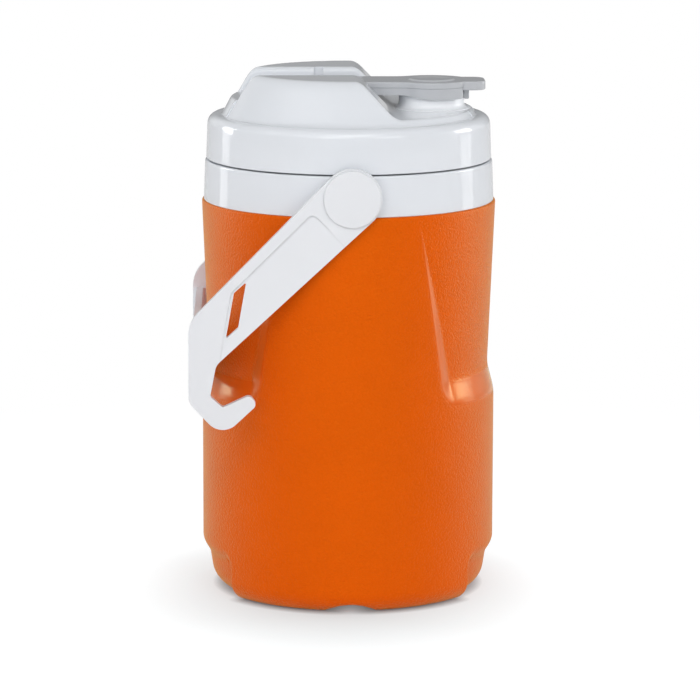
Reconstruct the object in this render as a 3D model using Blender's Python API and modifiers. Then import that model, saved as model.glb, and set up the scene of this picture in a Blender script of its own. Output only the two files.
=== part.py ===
# Insulated half-gallon drinks jug: a double-walled body with a screw lid, a flip-cap pouring spout
# and a bail handle with hooks. Metres, +Z up, +X to the spout, origin at the centre of the base.

import math

import bmesh
import bpy
from mathutils import Matrix, Vector

# Body shell
BODY_RADIUS = 0.0742
BODY_HEIGHT = 0.1990
SHELL_WALL = 0.0025
LIP_ROUND = 0.0010

# Recessed panels at the front and the back, with a ledge below each
PANEL_DEPTH = 0.0034
PANEL_TOP_MARGIN = 0.0020
PANEL_FOOT_Z = 0.1155
LEDGE_HEIGHT = 0.0130
PANEL_HALF_ANGLE_TOP = 62.5
PANEL_HALF_ANGLE_LOW = 50.3
LEDGE_HALF_ANGLE = 46.0
LEDGE_MIDDLE_SHARE = 0.62
CREASE_COLUMN = 54.0
CREASE_WIDTH = 12.0

# Foot, with the wall stepped in at the front and the back
FOOT_STEP_Z = 0.0240
FOOT_STEP_DROP = 0.0060
FOOT_STEP = 0.0035
FOOT_DRAFT = 9.0
FOOT_HALF_ANGLE = 36.0
FOOT_ROUND = 0.0100
RECESS_RADIUS = 0.0500
RECESS_DEPTH = 0.0026
NOTCH_WIDTH = 0.0285
NOTCH_HEIGHT = 0.0052

# Foam filling hole and its plug
FILL_HOLE_RADIUS = 0.0093
PLUG_HEAD_RADIUS = 0.0140

# Insulation and liner
FOAM_WALL = 0.0095
FLOOR_FOAM = 0.0093
LINER_WALL = 0.0020
LINER_CORNER = 0.0080
NECK_WALL = 0.0031
NECK_FLARE = 0.0150
FLANGE_THICKNESS = 0.0030

# Collar
COLLAR_HEIGHT = 0.0200
COLLAR_STEP = 0.0009
COLLAR_WALL = 0.0035
COLLAR_TOP_THICKNESS = 0.0030
SPIGOT_DEPTH = 0.0060
SIDE_DRAFT = 2.2
EDGE_ROUND = 0.0010

# Lid
LID_SEAM = 0.0007
LID_STEP = 0.0005
LID_HEIGHT = 0.0220
LID_WALL = 0.0025
LID_SHOULDER = 0.0045
LID_LEDGE = 0.0072
PLATFORM_RISE = 0.0030
HUMP_RISE = 0.0183
HUMP_SLOPE = 0.53
HUMP_ROUND = 0.0060
HUMP_FRONT_GAP = 0.0024
HUMP_FRONT_SLOPE = 0.82
HUMP_FRONT_FILLET = 0.0040
CHANNEL_WIDTH = 0.0356
CHANNEL_DEPTH = 0.0126
CHANNEL_WALL = 0.0036
THREAD_SPACE = 0.0032
PLATE_THICKNESS = 0.0020
PLATE_SKIRT_DEPTH = 0.0070
PLATE_SKIRT_WALL = 0.0020
PLATE_SKIRT_GAP = 0.0018
GASKET_THICKNESS = 0.0018

# Spout and its flip cap
SPOUT_SETBACK = 0.0223
SPOUT_RADIUS = 0.0165
SPOUT_WALL = 0.0030
SPOUT_RISE = 0.0087
SPOUT_SHANK_STEP = 0.0015
SEAL_FLANGE = 0.0017
SEAL_PLUG_DEPTH = 0.0042
SEAL_TAPER = 0.0006
CAP_PLATE = 0.0032
CAP_RADIUS = 0.0196
CAP_ARM_WIDTH = 0.0280
CAP_WAIST_ROUND = 0.0140
CAP_RAIL = 0.0022
CAP_RAIL_DROP = 0.0034
CAP_RAIL_INSET = 0.0004
CAP_SKIRT_DROP = 0.0062
CAP_SKIRT_GAP = 0.0005
CAP_SKIRT_OPEN = 0.0120
CAP_TAB_WIDTH = 0.0230
CAP_TAB_REACH = 0.0269
CAP_TAB_ROUND = 0.0060
CAP_PAD_RADIUS = 0.0110
CAP_PAD_RISE = 0.0006
CATCH_LENGTH = 0.0024
CATCH_WIDTH = 0.0090
CATCH_DROP = 0.0064
HINGE_SETBACK = 0.0228
HINGE_PIN_RADIUS = 0.0020
HINGE_BARREL_RADIUS = 0.0034
HINGE_SEAT_DEPTH = 0.0024

# Handle and its pivots
PIVOT_DROP = 0.0103
ARM_CLEARANCE = 0.0006
ARM_THICKNESS = 0.0045
ARM_END_RADIUS = 0.01475
ARM_CHAMFER = 0.0006
ARM_UPPER_ANGLE = 45.5
ARM_LOWER_ANGLE = 43.3
ELBOW_ROUND = 0.0160
GRIP_CLEARANCE = 0.0006
GRIP_THICKNESS = 0.0036
GRIP_HEIGHT = 0.0300
GRIP_INSET = 0.0018
GRIP_DROP = 0.0071
ARM_PANEL_MARGIN = 0.0038
ARM_PANEL_DEPTH = 0.0010
ARM_PANEL_START = 0.0215
PIN_RADIUS = 0.0047
PIN_HEAD_RADIUS = 0.0140
PIN_HEAD_THICKNESS = 0.0014
BOSS_RADIUS = 0.0095

# Corners of the hook, from the elbow: distance forward, distance down, rounding
HOOK_HEEL = (0.0000, 0.0397, 0.0075)
HOOK_BOTTOM = (0.0164, 0.0570, 0.0093)
HOOK_TIP_OUTER = (0.0337, 0.0408, 0.0028)
HOOK_TIP_INNER = (0.0303, 0.0358, 0.0028)
HOOK_THROAT_FRONT = (0.0168, 0.0421, 0.0016)
HOOK_THROAT_BACK = (0.0106, 0.0365, 0.0020)
HOOK_THROAT_LEAN = 11.0
HOOK_THROAT_ROUND = 0.0070

# Cut-out of the arm, from the elbow: first corner, then the two sides that it is made of
SLOT_CORNER = (0.0285, -0.0202)
SLOT_SHORT_SIDE = (-0.0061, 0.0055)
SLOT_LONG_SIDE = (-0.0041, 0.0228)
SLOT_ROUND = 0.0012

# Gap between pieces that touch, and the running gap of a pin
FIT = 0.0003
FACETS = 60
INNER_FACETS = 36
SMALL_FACETS = 24
MERGE = 0.00001

# Heights that follow from the sizes above
collar_z = BODY_HEIGHT + FIT
collar_top = collar_z + COLLAR_HEIGHT
lid_z = collar_top + LID_SEAM
lid_top = lid_z + LID_HEIGHT
platform_z = lid_top + PLATFORM_RISE
hump_top = platform_z + HUMP_RISE
channel_z = hump_top - CHANNEL_DEPTH
plate_top = lid_top - LID_WALL - FIT
plate_z = plate_top - PLATE_THICKNESS
gasket_z = plate_z - FIT - GASKET_THICKNESS
rim_z = gasket_z - FIT
spout_rim = platform_z + SPOUT_RISE
seal_z = spout_rim + FIT
cap_z = seal_z + SEAL_FLANGE + FIT
hinge_z = cap_z
pivot_z = collar_top - PIVOT_DROP
floor_z = RECESS_DEPTH + SHELL_WALL
liner_z = floor_z + FLOOR_FOAM + 2 * FIT
flange_top = collar_top - COLLAR_TOP_THICKNESS - FIT

# Radii that follow from the sizes above
draft = math.tan(math.radians(SIDE_DRAFT))
shell_inner = BODY_RADIUS - SHELL_WALL
liner_outer = shell_inner - PANEL_DEPTH - FOAM_WALL - 2 * FIT
liner_inner = liner_outer - LINER_WALL
collar_low_radius = BODY_RADIUS - COLLAR_STEP
collar_top_radius = collar_low_radius - COLLAR_HEIGHT * draft
lid_low_radius = collar_top_radius - LID_STEP
lid_high_radius = lid_low_radius - LID_HEIGHT * draft
neck_outer = lid_high_radius - LID_WALL - THREAD_SPACE
neck_inner = neck_outer - NECK_WALL
hump_base_radius = lid_high_radius - LID_LEDGE
spout_x = hump_base_radius - SPOUT_SETBACK
hump_front_x = spout_x - SPOUT_RADIUS - HUMP_FRONT_GAP - HUMP_FRONT_SLOPE * HUMP_RISE
hinge_x = hump_front_x - HINGE_SETBACK
spout_ahead = spout_x - hinge_x
hump_slant = math.sqrt(1.0 + HUMP_SLOPE ** 2)
front_slant = math.sqrt(1.0 + HUMP_FRONT_SLOPE ** 2)
shank_radius = SPOUT_RADIUS - SPOUT_SHANK_STEP
bore_radius = SPOUT_RADIUS - SPOUT_WALL
arm_inner = BODY_RADIUS + ARM_CLEARANCE
arm_outer = arm_inner + ARM_THICKNESS
boss_face = arm_inner - FIT
pin_end = collar_top_radius - COLLAR_WALL
elbow_x = -(BODY_RADIUS + GRIP_CLEARANCE + GRIP_THICKNESS + GRIP_INSET)


def clear_scene():
    for item in list(bpy.data.objects):
        bpy.data.objects.remove(item, do_unlink=True)


def new_collection(name):
    collection = bpy.data.collections.new(name)
    bpy.context.scene.collection.children.link(collection)
    return collection


def plastic(name, colour, roughness):
    made = bpy.data.materials.new(name)
    made.use_nodes = True
    shader = made.node_tree.nodes["Principled BSDF"]
    shader.inputs["Base Color"].default_value = (*colour, 1.0)
    shader.inputs["Roughness"].default_value = roughness
    shader.inputs["Metallic"].default_value = 0.0
    return made


clear_scene()
jug = new_collection("drinks_jug")
cutters = new_collection("cutters")

orange = plastic("body_orange", (0.72, 0.10, 0.005), 0.45)
white_gloss = plastic("white_gloss", (0.78, 0.80, 0.82), 0.15)
white_satin = plastic("white_satin", (0.78, 0.80, 0.82), 0.35)
grey_satin = plastic("grey_satin", (0.36, 0.38, 0.40), 0.35)
liner_white = plastic("liner_white", (0.80, 0.80, 0.78), 0.30)
foam_cream = plastic("foam_cream", (0.80, 0.70, 0.42), 0.90)
seal_grey = plastic("seal_grey", (0.55, 0.57, 0.58), 0.60)


# Outlines

def arc(centre, radius, start, end, steps):
    points = []
    for i in range(steps + 1):
        turn = math.radians(start + (end - start) * i / steps)
        points.append((centre[0] + radius * math.cos(turn), centre[1] + radius * math.sin(turn)))
    return points


def rounded(corners, steps=3):
    points = []
    count = len(corners)
    for i, (x, y, radius) in enumerate(corners):
        here = Vector((x, y))
        back = (Vector(corners[i - 1][:2]) - here).normalized()
        ahead = (Vector(corners[(i + 1) % count][:2]) - here).normalized()
        half = back.angle(ahead) / 2.0
        if radius <= 0.0 or half > math.radians(89.0):
            points.append((x, y))
            continue
        start = here + back * (radius / math.tan(half))
        centre = here + (back + ahead).normalized() * (radius / math.sin(half))
        spoke = start - centre
        sweep = math.pi - 2.0 * half
        side = 1.0 if back.x * ahead.y - back.y * ahead.x < 0.0 else -1.0
        for k in range(steps + 1):
            turn = side * sweep * k / steps
            points.append(tuple(centre + Matrix.Rotation(turn, 2) @ spoke))
    return points


# Solids

def to_mesh(source, name, collection):
    bpy.context.view_layer.update()
    graph = bpy.context.evaluated_depsgraph_get()
    mesh = bpy.data.meshes.new_from_object(source.evaluated_get(graph))
    body = bmesh.new()
    body.from_mesh(mesh)
    bmesh.ops.remove_doubles(body, verts=body.verts, dist=MERGE)
    bmesh.ops.recalc_face_normals(body, faces=body.faces)
    body.to_mesh(mesh)
    body.free()
    place = source.matrix_world.copy()
    bpy.data.objects.remove(source, do_unlink=True)
    made = bpy.data.objects.new(name, mesh)
    mesh.name = name
    collection.objects.link(made)
    made.matrix_world = place
    return made


def turned(name, profile, closed, facets=FACETS, place=(0.0, 0.0, 0.0)):
    mesh = bpy.data.meshes.new(name)
    edges = [(i, i + 1) for i in range(len(profile) - 1)]
    if closed:
        edges.append((len(profile) - 1, 0))
    mesh.from_pydata([(r, 0.0, z) for r, z in profile], edges, [])
    made = bpy.data.objects.new(name, mesh)
    jug.objects.link(made)
    made.location = place
    screw = made.modifiers.new("Turn", "SCREW")
    screw.steps = facets
    screw.render_steps = facets
    screw.use_merge_vertices = True
    screw.merge_threshold = MERGE
    return made


def plate(name, outlines, thickness, chamfer=0.0):
    curve = bpy.data.curves.new(name, "CURVE")
    curve.dimensions = "2D"
    curve.fill_mode = "BOTH"
    curve.extrude = thickness / 2.0 - chamfer
    curve.bevel_depth = chamfer
    curve.bevel_resolution = 0
    curve.offset = -chamfer
    for outline in outlines:
        spline = curve.splines.new("POLY")
        spline.points.add(len(outline) - 1)
        for point, (x, y) in zip(spline.points, outline):
            point.co = (x, y, 0.0, 1.0)
        spline.use_cyclic_u = True
    drawn = bpy.data.objects.new(name, curve)
    jug.objects.link(drawn)
    return to_mesh(drawn, name, jug)


def block(name, low, high):
    bpy.ops.mesh.primitive_cube_add(size=1.0)
    made = bpy.context.object
    made.name = name
    size = [b - a for a, b in zip(low, high)]
    middle = [(a + b) / 2.0 for a, b in zip(low, high)]
    made.data.transform(Matrix.Translation(middle) @ Matrix.Diagonal((*size, 1.0)))
    return move_to(made, jug)


def rod(name, radius, start, end, facets=SMALL_FACETS):
    first = Vector(start)
    span = Vector(end) - first
    bpy.ops.mesh.primitive_cylinder_add(radius=radius, depth=span.length, vertices=facets)
    made = bpy.context.object
    made.name = name
    turn = span.to_track_quat("Z", "Y").to_matrix().to_4x4()
    made.data.transform(Matrix.Translation(first + span / 2.0) @ turn)
    return move_to(made, jug)


def move_to(made, collection):
    for holder in list(made.users_collection):
        holder.objects.unlink(made)
    collection.objects.link(made)
    return made


def side_prism(name, outline, width):
    made = plate(name, [outline], width)
    made.matrix_world = Matrix.Rotation(math.pi / 2.0, 4, "X")
    return made


def combine(target, tool, operation):
    move_to(tool, cutters)
    bpy.context.view_layer.update()
    tool.parent = target
    tool.matrix_parent_inverse = target.matrix_world.inverted()
    tool.hide_render = True
    tool.display_type = "WIRE"
    step = target.modifiers.new(tool.name, "BOOLEAN")
    step.operation = operation
    step.object = tool
    step.solver = "EXACT"
    return target


def cut(target, *tools):
    for tool in tools:
        combine(target, tool, "DIFFERENCE")
    return target


def join(target, *tools):
    for tool in tools:
        combine(target, tool, "UNION")
    return target


def finish(made, material, parent=None):
    made.data.materials.clear()
    made.data.materials.append(material)
    made.data.shade_smooth()
    made.data.set_sharp_from_angle(angle=math.radians(32.0))
    if parent is not None:
        made.parent = parent
        made.matrix_parent_inverse = parent.matrix_world.inverted()
    return made


def axis_empty(name, place):
    made = bpy.data.objects.new(name, None)
    made.location = place
    jug.objects.link(made)
    bpy.context.view_layer.update()
    return made


# Body wall: where the panels and the stepped foot press the round wall inwards

def smooth_step(value):
    value = min(max(value, 0.0), 1.0)
    return value * value * (3.0 - 2.0 * value)


def between(value, marks):
    for (low, first), (high, second) in zip(marks, marks[1:]):
        if value <= high:
            share = max(value - low, 0.0) / (high - low)
            return first + (second - first) * share
    return marks[-1][1]


panel_top = BODY_HEIGHT - PANEL_TOP_MARGIN
panel_middle = (panel_top + PANEL_FOOT_Z) / 2.0
ledge_z = PANEL_FOOT_Z - LEDGE_HEIGHT
ledge_middle = ledge_z + LEDGE_HEIGHT / 2.0
step_foot = FOOT_STEP_Z - FOOT_STEP_DROP


def crease_angle(z):
    return between(z, [
        (ledge_z, LEDGE_HALF_ANGLE),
        (PANEL_FOOT_Z, PANEL_HALF_ANGLE_LOW),
        (panel_top, PANEL_HALF_ANGLE_TOP),
    ])


def panel_dent(angle, z):
    depth = between(z, [
        (ledge_z, 0.0),
        (ledge_middle, PANEL_DEPTH * LEDGE_MIDDLE_SHARE),
        (PANEL_FOOT_Z, PANEL_DEPTH),
        (panel_top, 0.0),
    ])
    return depth * smooth_step((crease_angle(z) - angle) / CREASE_WIDTH)


def foot_depth(z):
    lean = math.tan(math.radians(FOOT_DRAFT)) * max(step_foot - z, 0.0)
    return FOOT_STEP * smooth_step((FOOT_STEP_Z - z) / FOOT_STEP_DROP) + lean


def foot_dent(angle, z):
    return foot_depth(z) * smooth_step((FOOT_HALF_ANGLE - angle) / CREASE_WIDTH)


def shape_wall(made, *dents):
    for vertex in made.data.vertices:
        x, y, z = vertex.co
        radius = math.hypot(x, y)
        if radius <= RECESS_RADIUS + MERGE:
            continue
        column = math.degrees(math.atan2(abs(y), abs(x)))
        crease = crease_angle(z)
        if column <= CREASE_COLUMN:
            angle = column * crease / CREASE_COLUMN
        else:
            angle = 90.0 - (90.0 - column) * (90.0 - crease) / (90.0 - CREASE_COLUMN)
        radius -= sum(dent(angle, z) for dent in dents)
        angle = math.radians(angle)
        vertex.co.x = math.copysign(radius * math.cos(angle), x)
        vertex.co.y = math.copysign(radius * math.sin(angle), y)
    return made


def wall_cavity(name, inset, top):
    wall = shell_inner - inset
    corner = wall - foot_depth(FOOT_ROUND)
    low = floor_z + inset
    profile = [(0.0, top), (wall, top)]
    levels = (panel_top, panel_middle, PANEL_FOOT_Z, ledge_z, FOOT_STEP_Z)
    profile += [(wall, z) for z in levels if z < top]
    profile.append((corner, step_foot))
    profile += arc((corner - FOOT_ROUND, low + FOOT_ROUND), FOOT_ROUND, 0.0, -90.0, 2)
    profile.append((0.0, low))
    solid = to_mesh(turned(name, profile, False), name, jug)
    return shape_wall(solid, panel_dent)


def make_outer_shell():
    levels = [panel_top, panel_middle, PANEL_FOOT_Z, ledge_middle, ledge_z]
    levels += [FOOT_STEP_Z, FOOT_STEP_Z - FOOT_STEP_DROP / 2.0, step_foot]
    profile = [(0.0, BODY_HEIGHT)]
    profile += arc((BODY_RADIUS - LIP_ROUND, BODY_HEIGHT - LIP_ROUND), LIP_ROUND, 90.0, 0.0, 2)
    profile += [(BODY_RADIUS, z) for z in levels]
    profile += arc((BODY_RADIUS - FOOT_ROUND, FOOT_ROUND), FOOT_ROUND, 0.0, -90.0, 4)
    profile += [(RECESS_RADIUS, 0.0), (RECESS_RADIUS - RECESS_DEPTH / 2.0, RECESS_DEPTH)]
    hole_top = 2.0 * floor_z
    profile += [(FILL_HOLE_RADIUS, RECESS_DEPTH), (FILL_HOLE_RADIUS, hole_top), (0.0, hole_top)]
    shell = to_mesh(turned("outer_shell", profile, False), "outer_shell", jug)
    shape_wall(shell, panel_dent, foot_dent)
    cut(shell, wall_cavity("shell_cavity", 0.0, BODY_HEIGHT + LIP_ROUND))
    notch_radius = NOTCH_WIDTH ** 2 / (8.0 * NOTCH_HEIGHT) + NOTCH_HEIGHT / 2.0
    for side in (1.0, -1.0):
        start = (0.0, side * (RECESS_RADIUS - RECESS_DEPTH), RECESS_DEPTH - notch_radius)
        end = (0.0, side * (BODY_RADIUS + SHELL_WALL), NOTCH_HEIGHT - notch_radius)
        cut(shell, rod("base_notch", notch_radius, start, end, FACETS))
    return finish(shell, orange)


def make_fill_plug():
    shank = FILL_HOLE_RADIUS - FIT
    head_top = RECESS_DEPTH - FIT
    profile = [(0.0, floor_z), (shank, floor_z), (shank, head_top), (PLUG_HEAD_RADIUS, head_top)]
    profile += arc((PLUG_HEAD_RADIUS - LIP_ROUND, LIP_ROUND), LIP_ROUND, 0.0, -90.0, 2)
    profile.append((0.0, 0.0))
    return finish(turned("fill_plug", profile, False, SMALL_FACETS), seal_grey)


neck_root = flange_top - FLANGE_THICKNESS
flare_z = neck_root - NECK_FLARE
foam_top = flare_z + NECK_FLARE / 2.0


def flare_radius(z, low, high):
    return low + (high - low) * min(max((z - flare_z) / NECK_FLARE, 0.0), 1.0)


def make_foam_core():
    shoulder = pin_end - FIT
    shoulder_z = collar_z - SPIGOT_DEPTH - FIT
    cup = liner_outer + FIT
    neck = flare_radius(foam_top, cup, neck_outer + FIT)
    foam = wall_cavity("foam_core", 2.0 * FIT, shoulder_z)
    shoulder_low = (0.0, 0.0, shoulder_z - FOAM_WALL)
    join(foam, rod("foam_shoulder", shoulder, shoulder_low, (0.0, 0.0, foam_top), INNER_FACETS))
    hollow = [(0.0, foam_top + FIT), (neck, foam_top + FIT), (neck, foam_top), (cup, flare_z)]
    middle = (cup - LINER_CORNER, liner_z - FIT + LINER_CORNER)
    hollow += arc(middle, LINER_CORNER, 0.0, -90.0, 3)
    hollow.append((0.0, liner_z - FIT))
    cut(foam, turned("foam_hollow", hollow, False, INNER_FACETS))
    return finish(foam, foam_cream)


def make_liner():
    flange = collar_top_radius - COLLAR_WALL - FIT
    half = NECK_WALL / 2.0
    inside_z = liner_z + LINER_WALL
    inside = LINER_CORNER - LINER_WALL
    profile = [(0.0, inside_z)]
    profile += arc((liner_inner - inside, inside_z + inside), inside, -90.0, 0.0, 3)
    profile += [(liner_inner, flare_z), (neck_inner, neck_root)]
    profile += arc((neck_outer - half, rim_z - half), half, 180.0, 0.0, 4)
    profile += [(neck_outer, flange_top), (flange, flange_top), (flange, neck_root)]
    profile += [(neck_outer, neck_root), (liner_outer, flare_z)]
    profile += arc((liner_outer - LINER_CORNER, liner_z + LINER_CORNER), LINER_CORNER, 0.0, -90.0, 3)
    profile.append((0.0, liner_z))
    return finish(turned("liner", profile, False, INNER_FACETS), liner_white)


def make_collar():
    wall = collar_low_radius - COLLAR_WALL
    opening = neck_outer + FIT
    spigot = shell_inner - 2.0 * FIT
    under = collar_top - COLLAR_TOP_THICKNESS
    inner_top = collar_top_radius - COLLAR_WALL
    profile = [(opening, collar_top)]
    profile += arc((collar_top_radius - EDGE_ROUND, collar_top - EDGE_ROUND), EDGE_ROUND, 90.0, 0.0, 2)
    profile += [(collar_low_radius, collar_z), (spigot, collar_z), (spigot, collar_z - SPIGOT_DEPTH)]
    profile += [(wall, collar_z - SPIGOT_DEPTH), (inner_top, under), (opening, under)]
    ring = turned("collar", profile, True)
    for side in (1.0, -1.0):
        inner = (0.0, side * pin_end, pivot_z)
        face = (0.0, side * boss_face, pivot_z)
        join(ring, rod("pivot_boss", BOSS_RADIUS, inner, face))
    for side in (1.0, -1.0):
        inner = (0.0, side * (pin_end - BOSS_RADIUS), pivot_z)
        outside = (0.0, side * (arm_outer + BOSS_RADIUS), pivot_z)
        cut(ring, rod("pivot_bore", PIN_RADIUS + FIT, inner, outside))
    return finish(ring, white_gloss)


# Lid: the same hump is made three times, for the skin, the hollow in it and the insulation

def front_relief(name, inset):
    floor = platform_z - inset
    top = hump_top + PLATFORM_RISE
    back = hump_front_x - inset * front_slant
    foot_x = back + HUMP_FRONT_SLOPE * (hump_top - floor)
    top_x = back + HUMP_FRONT_SLOPE * (hump_top - top)
    reach = BODY_RADIUS * 2.0
    corners = [(foot_x, floor, HUMP_FRONT_FILLET), (reach, floor, 0.0)]
    corners += [(reach, top, 0.0), (top_x, top, 0.0)]
    return side_prism(name, rounded(corners), BODY_RADIUS * 4.0)


def channel_block(name, side_inset, floor_inset):
    half = CHANNEL_WIDTH / 2.0 + side_inset
    reach = BODY_RADIUS * 2.0
    low = (-reach, -half, channel_z - floor_inset)
    high = (reach, half, hump_top + PLATFORM_RISE * 2.0)
    return block(name, low, high)


def hump_radius(z, inset):
    return hump_base_radius - HUMP_SLOPE * (z - lid_top) - inset * hump_slant


def hump_crown(inset):
    top = hump_top - inset
    edge = hump_radius(top, inset)
    corners = [(0.0, top, 0.0), (edge, top, HUMP_ROUND), (hump_radius(lid_top, inset), lid_top, 0.0)]
    return rounded(corners, 3)


def make_lid_shell():
    shoulder_x = lid_high_radius - LID_SHOULDER
    profile = hump_crown(0.0)
    profile += arc((shoulder_x, lid_top - LID_SHOULDER), LID_SHOULDER, 90.0, 0.0, 4)
    profile += [(lid_low_radius, lid_z + EDGE_ROUND), (lid_low_radius - EDGE_ROUND, lid_z), (0.0, lid_z)]
    skin = turned("lid_shell", profile, False)
    cut(skin, front_relief("front_relief", 0.0), channel_block("channel", 0.0, 0.0))
    under = lid_top - LID_WALL
    hollow = hump_crown(LID_WALL)[:-1]
    hollow += [(hump_radius(under, LID_WALL), under), (lid_high_radius - LID_WALL, under)]
    skirt = lid_low_radius - LID_WALL
    hollow += [(skirt, lid_z), (skirt, lid_z - LID_WALL), (0.0, lid_z - LID_WALL)]
    core = turned("lid_hollow", hollow, False)
    cut(core, front_relief("hollow_front", LID_WALL))
    cut(core, channel_block("hollow_channel", CHANNEL_WALL, LID_WALL))
    cut(skin, core)
    inner = CHANNEL_WIDTH / 2.0
    seat = HINGE_PIN_RADIUS + FIT
    seat_low = (hinge_x - seat, -inner - HINGE_SEAT_DEPTH, hinge_z - seat)
    seat_high = (hinge_x + seat, inner + HINGE_SEAT_DEPTH, hump_top + PLATFORM_RISE)
    cut(skin, block("hinge_seat", seat_low, seat_high))
    hole_low = (spout_x, 0.0, plate_top)
    hole_high = (spout_x, 0.0, spout_rim)
    cut(skin, rod("spout_hole", shank_radius + FIT, hole_low, hole_high))
    return finish(skin, white_gloss, lid_axis)


def make_lid_foam():
    inset = LID_WALL + FIT
    low = plate_top + FIT
    profile = hump_crown(inset)[:-1]
    profile += [(hump_radius(low, inset), low), (0.0, low)]
    foam = turned("lid_foam", profile, False, INNER_FACETS)
    cut(foam, front_relief("foam_front", inset))
    cut(foam, channel_block("foam_channel", CHANNEL_WALL + FIT, inset))
    hole = shank_radius + 2.0 * FIT
    cut(foam, rod("foam_hole", hole, (spout_x, 0.0, plate_z), (spout_x, 0.0, spout_rim)))
    return finish(foam, foam_cream, lid_axis)


def make_lid_plate():
    rim = lid_high_radius - LID_WALL - 2.0 * FIT
    skirt = neck_inner - PLATE_SKIRT_GAP
    inner = skirt - PLATE_SKIRT_WALL
    low = plate_z - PLATE_SKIRT_DEPTH
    profile = [(0.0, plate_top), (rim, plate_top), (rim, plate_z), (skirt, plate_z)]
    profile += [(skirt - LIP_ROUND / 2.0, low), (inner, low), (inner, plate_z), (0.0, plate_z)]
    disc = turned("lid_plate", profile, False, INNER_FACETS)
    hole_low = (spout_x, 0.0, low)
    hole_high = (spout_x, 0.0, platform_z)
    cut(disc, rod("plate_hole", shank_radius + FIT, hole_low, hole_high))
    return finish(disc, liner_white, lid_axis)


def make_lid_gasket():
    outer = neck_outer + FIT
    inner = neck_inner + FIT
    top = gasket_z + GASKET_THICKNESS
    profile = [(outer, top), (outer, gasket_z), (inner, gasket_z), (inner, top)]
    return finish(turned("lid_gasket", profile, True, INNER_FACETS), seal_grey, lid_axis)


def make_pour_spout():
    low = plate_z + FIT
    seat = platform_z + FIT
    rim = SPOUT_WALL / 2.0
    profile = arc((SPOUT_RADIUS - rim, spout_rim - rim), rim, 180.0, 0.0, 4)
    profile += [(SPOUT_RADIUS, seat), (shank_radius, seat), (shank_radius, low), (bore_radius, low)]
    spout = turned("pour_spout", profile, True, INNER_FACETS, (spout_x, 0.0, 0.0))
    return finish(spout, white_gloss, lid_axis)


# Flip cap: modelled about its hinge

def cap_outline():
    tab = CAP_TAB_WIDTH / 2.0
    arm = CAP_ARM_WIDTH / 2.0
    end = spout_ahead + CAP_TAB_REACH
    spread = math.degrees(math.asin(tab / CAP_RADIUS))
    bend_y = arm + CAP_WAIST_ROUND
    bend_back = math.sqrt((CAP_RADIUS + CAP_WAIST_ROUND) ** 2 - bend_y ** 2)
    waist = math.degrees(math.atan2(bend_y, -bend_back))
    bend_x = spout_ahead - bend_back
    points = arc((spout_ahead, 0.0), CAP_RADIUS, spread, waist, 8)
    points += arc((bend_x, bend_y), CAP_WAIST_ROUND, waist - 180.0, -90.0, 4)[1:]
    points += [(-HINGE_BARREL_RADIUS / 2.0, arm), (-HINGE_BARREL_RADIUS / 2.0, -arm)]
    points += arc((bend_x, -bend_y), CAP_WAIST_ROUND, 90.0, 180.0 - waist, 4)
    points += arc((spout_ahead, 0.0), CAP_RADIUS, -waist, -spread, 8)[1:]
    points += arc((end - CAP_TAB_ROUND, CAP_TAB_ROUND - tab), CAP_TAB_ROUND, -90.0, 0.0, 4)
    points += arc((end - CAP_TAB_ROUND, tab - CAP_TAB_ROUND), CAP_TAB_ROUND, 0.0, 90.0, 4)
    return points


def make_spout_cap():
    under = cap_z - hinge_z
    cap = plate("spout_cap", [cap_outline()], CAP_PLATE, EDGE_ROUND / 2.0)
    cap.data.transform(Matrix.Translation((0.0, 0.0, under + CAP_PLATE / 2.0)))
    grip = under + CAP_PLATE / 2.0
    rail = CAP_ARM_WIDTH / 2.0 - CAP_RAIL_INSET
    skirt_inner = SPOUT_RADIUS + CAP_SKIRT_GAP
    skirt_outer = CAP_RADIUS - CAP_RAIL_INSET
    rail_end = spout_ahead - math.sqrt(skirt_inner ** 2 - (rail - CAP_RAIL) ** 2) - FIT
    for side in (1.0, -1.0):
        edges = sorted((side * rail, side * (rail - CAP_RAIL)))
        low = (0.0, edges[0], under - CAP_RAIL_DROP)
        join(cap, block("arm_rail", low, (rail_end, edges[1], grip)))
    barrel = CHANNEL_WIDTH / 2.0 - 2.0 * FIT
    join(cap, rod("hinge_barrel", HINGE_BARREL_RADIUS, (0.0, -barrel, 0.0), (0.0, barrel, 0.0)))
    skirt_low = under - CAP_SKIRT_DROP
    ring = [(skirt_outer, grip), (skirt_outer, skirt_low), (skirt_inner, skirt_low), (skirt_inner, grip)]
    skirt = turned("cap_skirt", ring, True, INNER_FACETS, (spout_ahead, 0.0, 0.0))
    front = spout_ahead + CAP_SKIRT_OPEN
    far = spout_ahead + CAP_RADIUS * 2.0
    wide = CAP_RADIUS * 2.0
    deep = skirt_low * 2.0
    cut(skirt, block("skirt_front", (front, -wide, deep), (far, wide, grip * 2.0)))
    back = spout_ahead - SPOUT_RADIUS / 2.0
    cut(skirt, block("skirt_back", (-wide, -wide, deep), (back, wide, under - CAP_RAIL_DROP)))
    join(cap, skirt)
    catch = spout_ahead + SPOUT_RADIUS + CAP_SKIRT_GAP
    catch_low = (catch, -CATCH_WIDTH / 2.0, under - CATCH_DROP)
    join(cap, block("catch_rib", catch_low, (catch + CATCH_LENGTH, CATCH_WIDTH / 2.0, grip)))
    pad_top = under + CAP_PLATE + CAP_PAD_RISE
    join(cap, rod("cap_pad", CAP_PAD_RADIUS, (spout_ahead, 0.0, grip), (spout_ahead, 0.0, pad_top)))
    bore = barrel + HINGE_BARREL_RADIUS
    cut(cap, rod("hinge_bore", HINGE_PIN_RADIUS + FIT, (0.0, -bore, 0.0), (0.0, bore, 0.0)))
    cap.location = (hinge_x, 0.0, hinge_z)
    return finish(cap, grey_satin, lid_axis)


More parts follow.
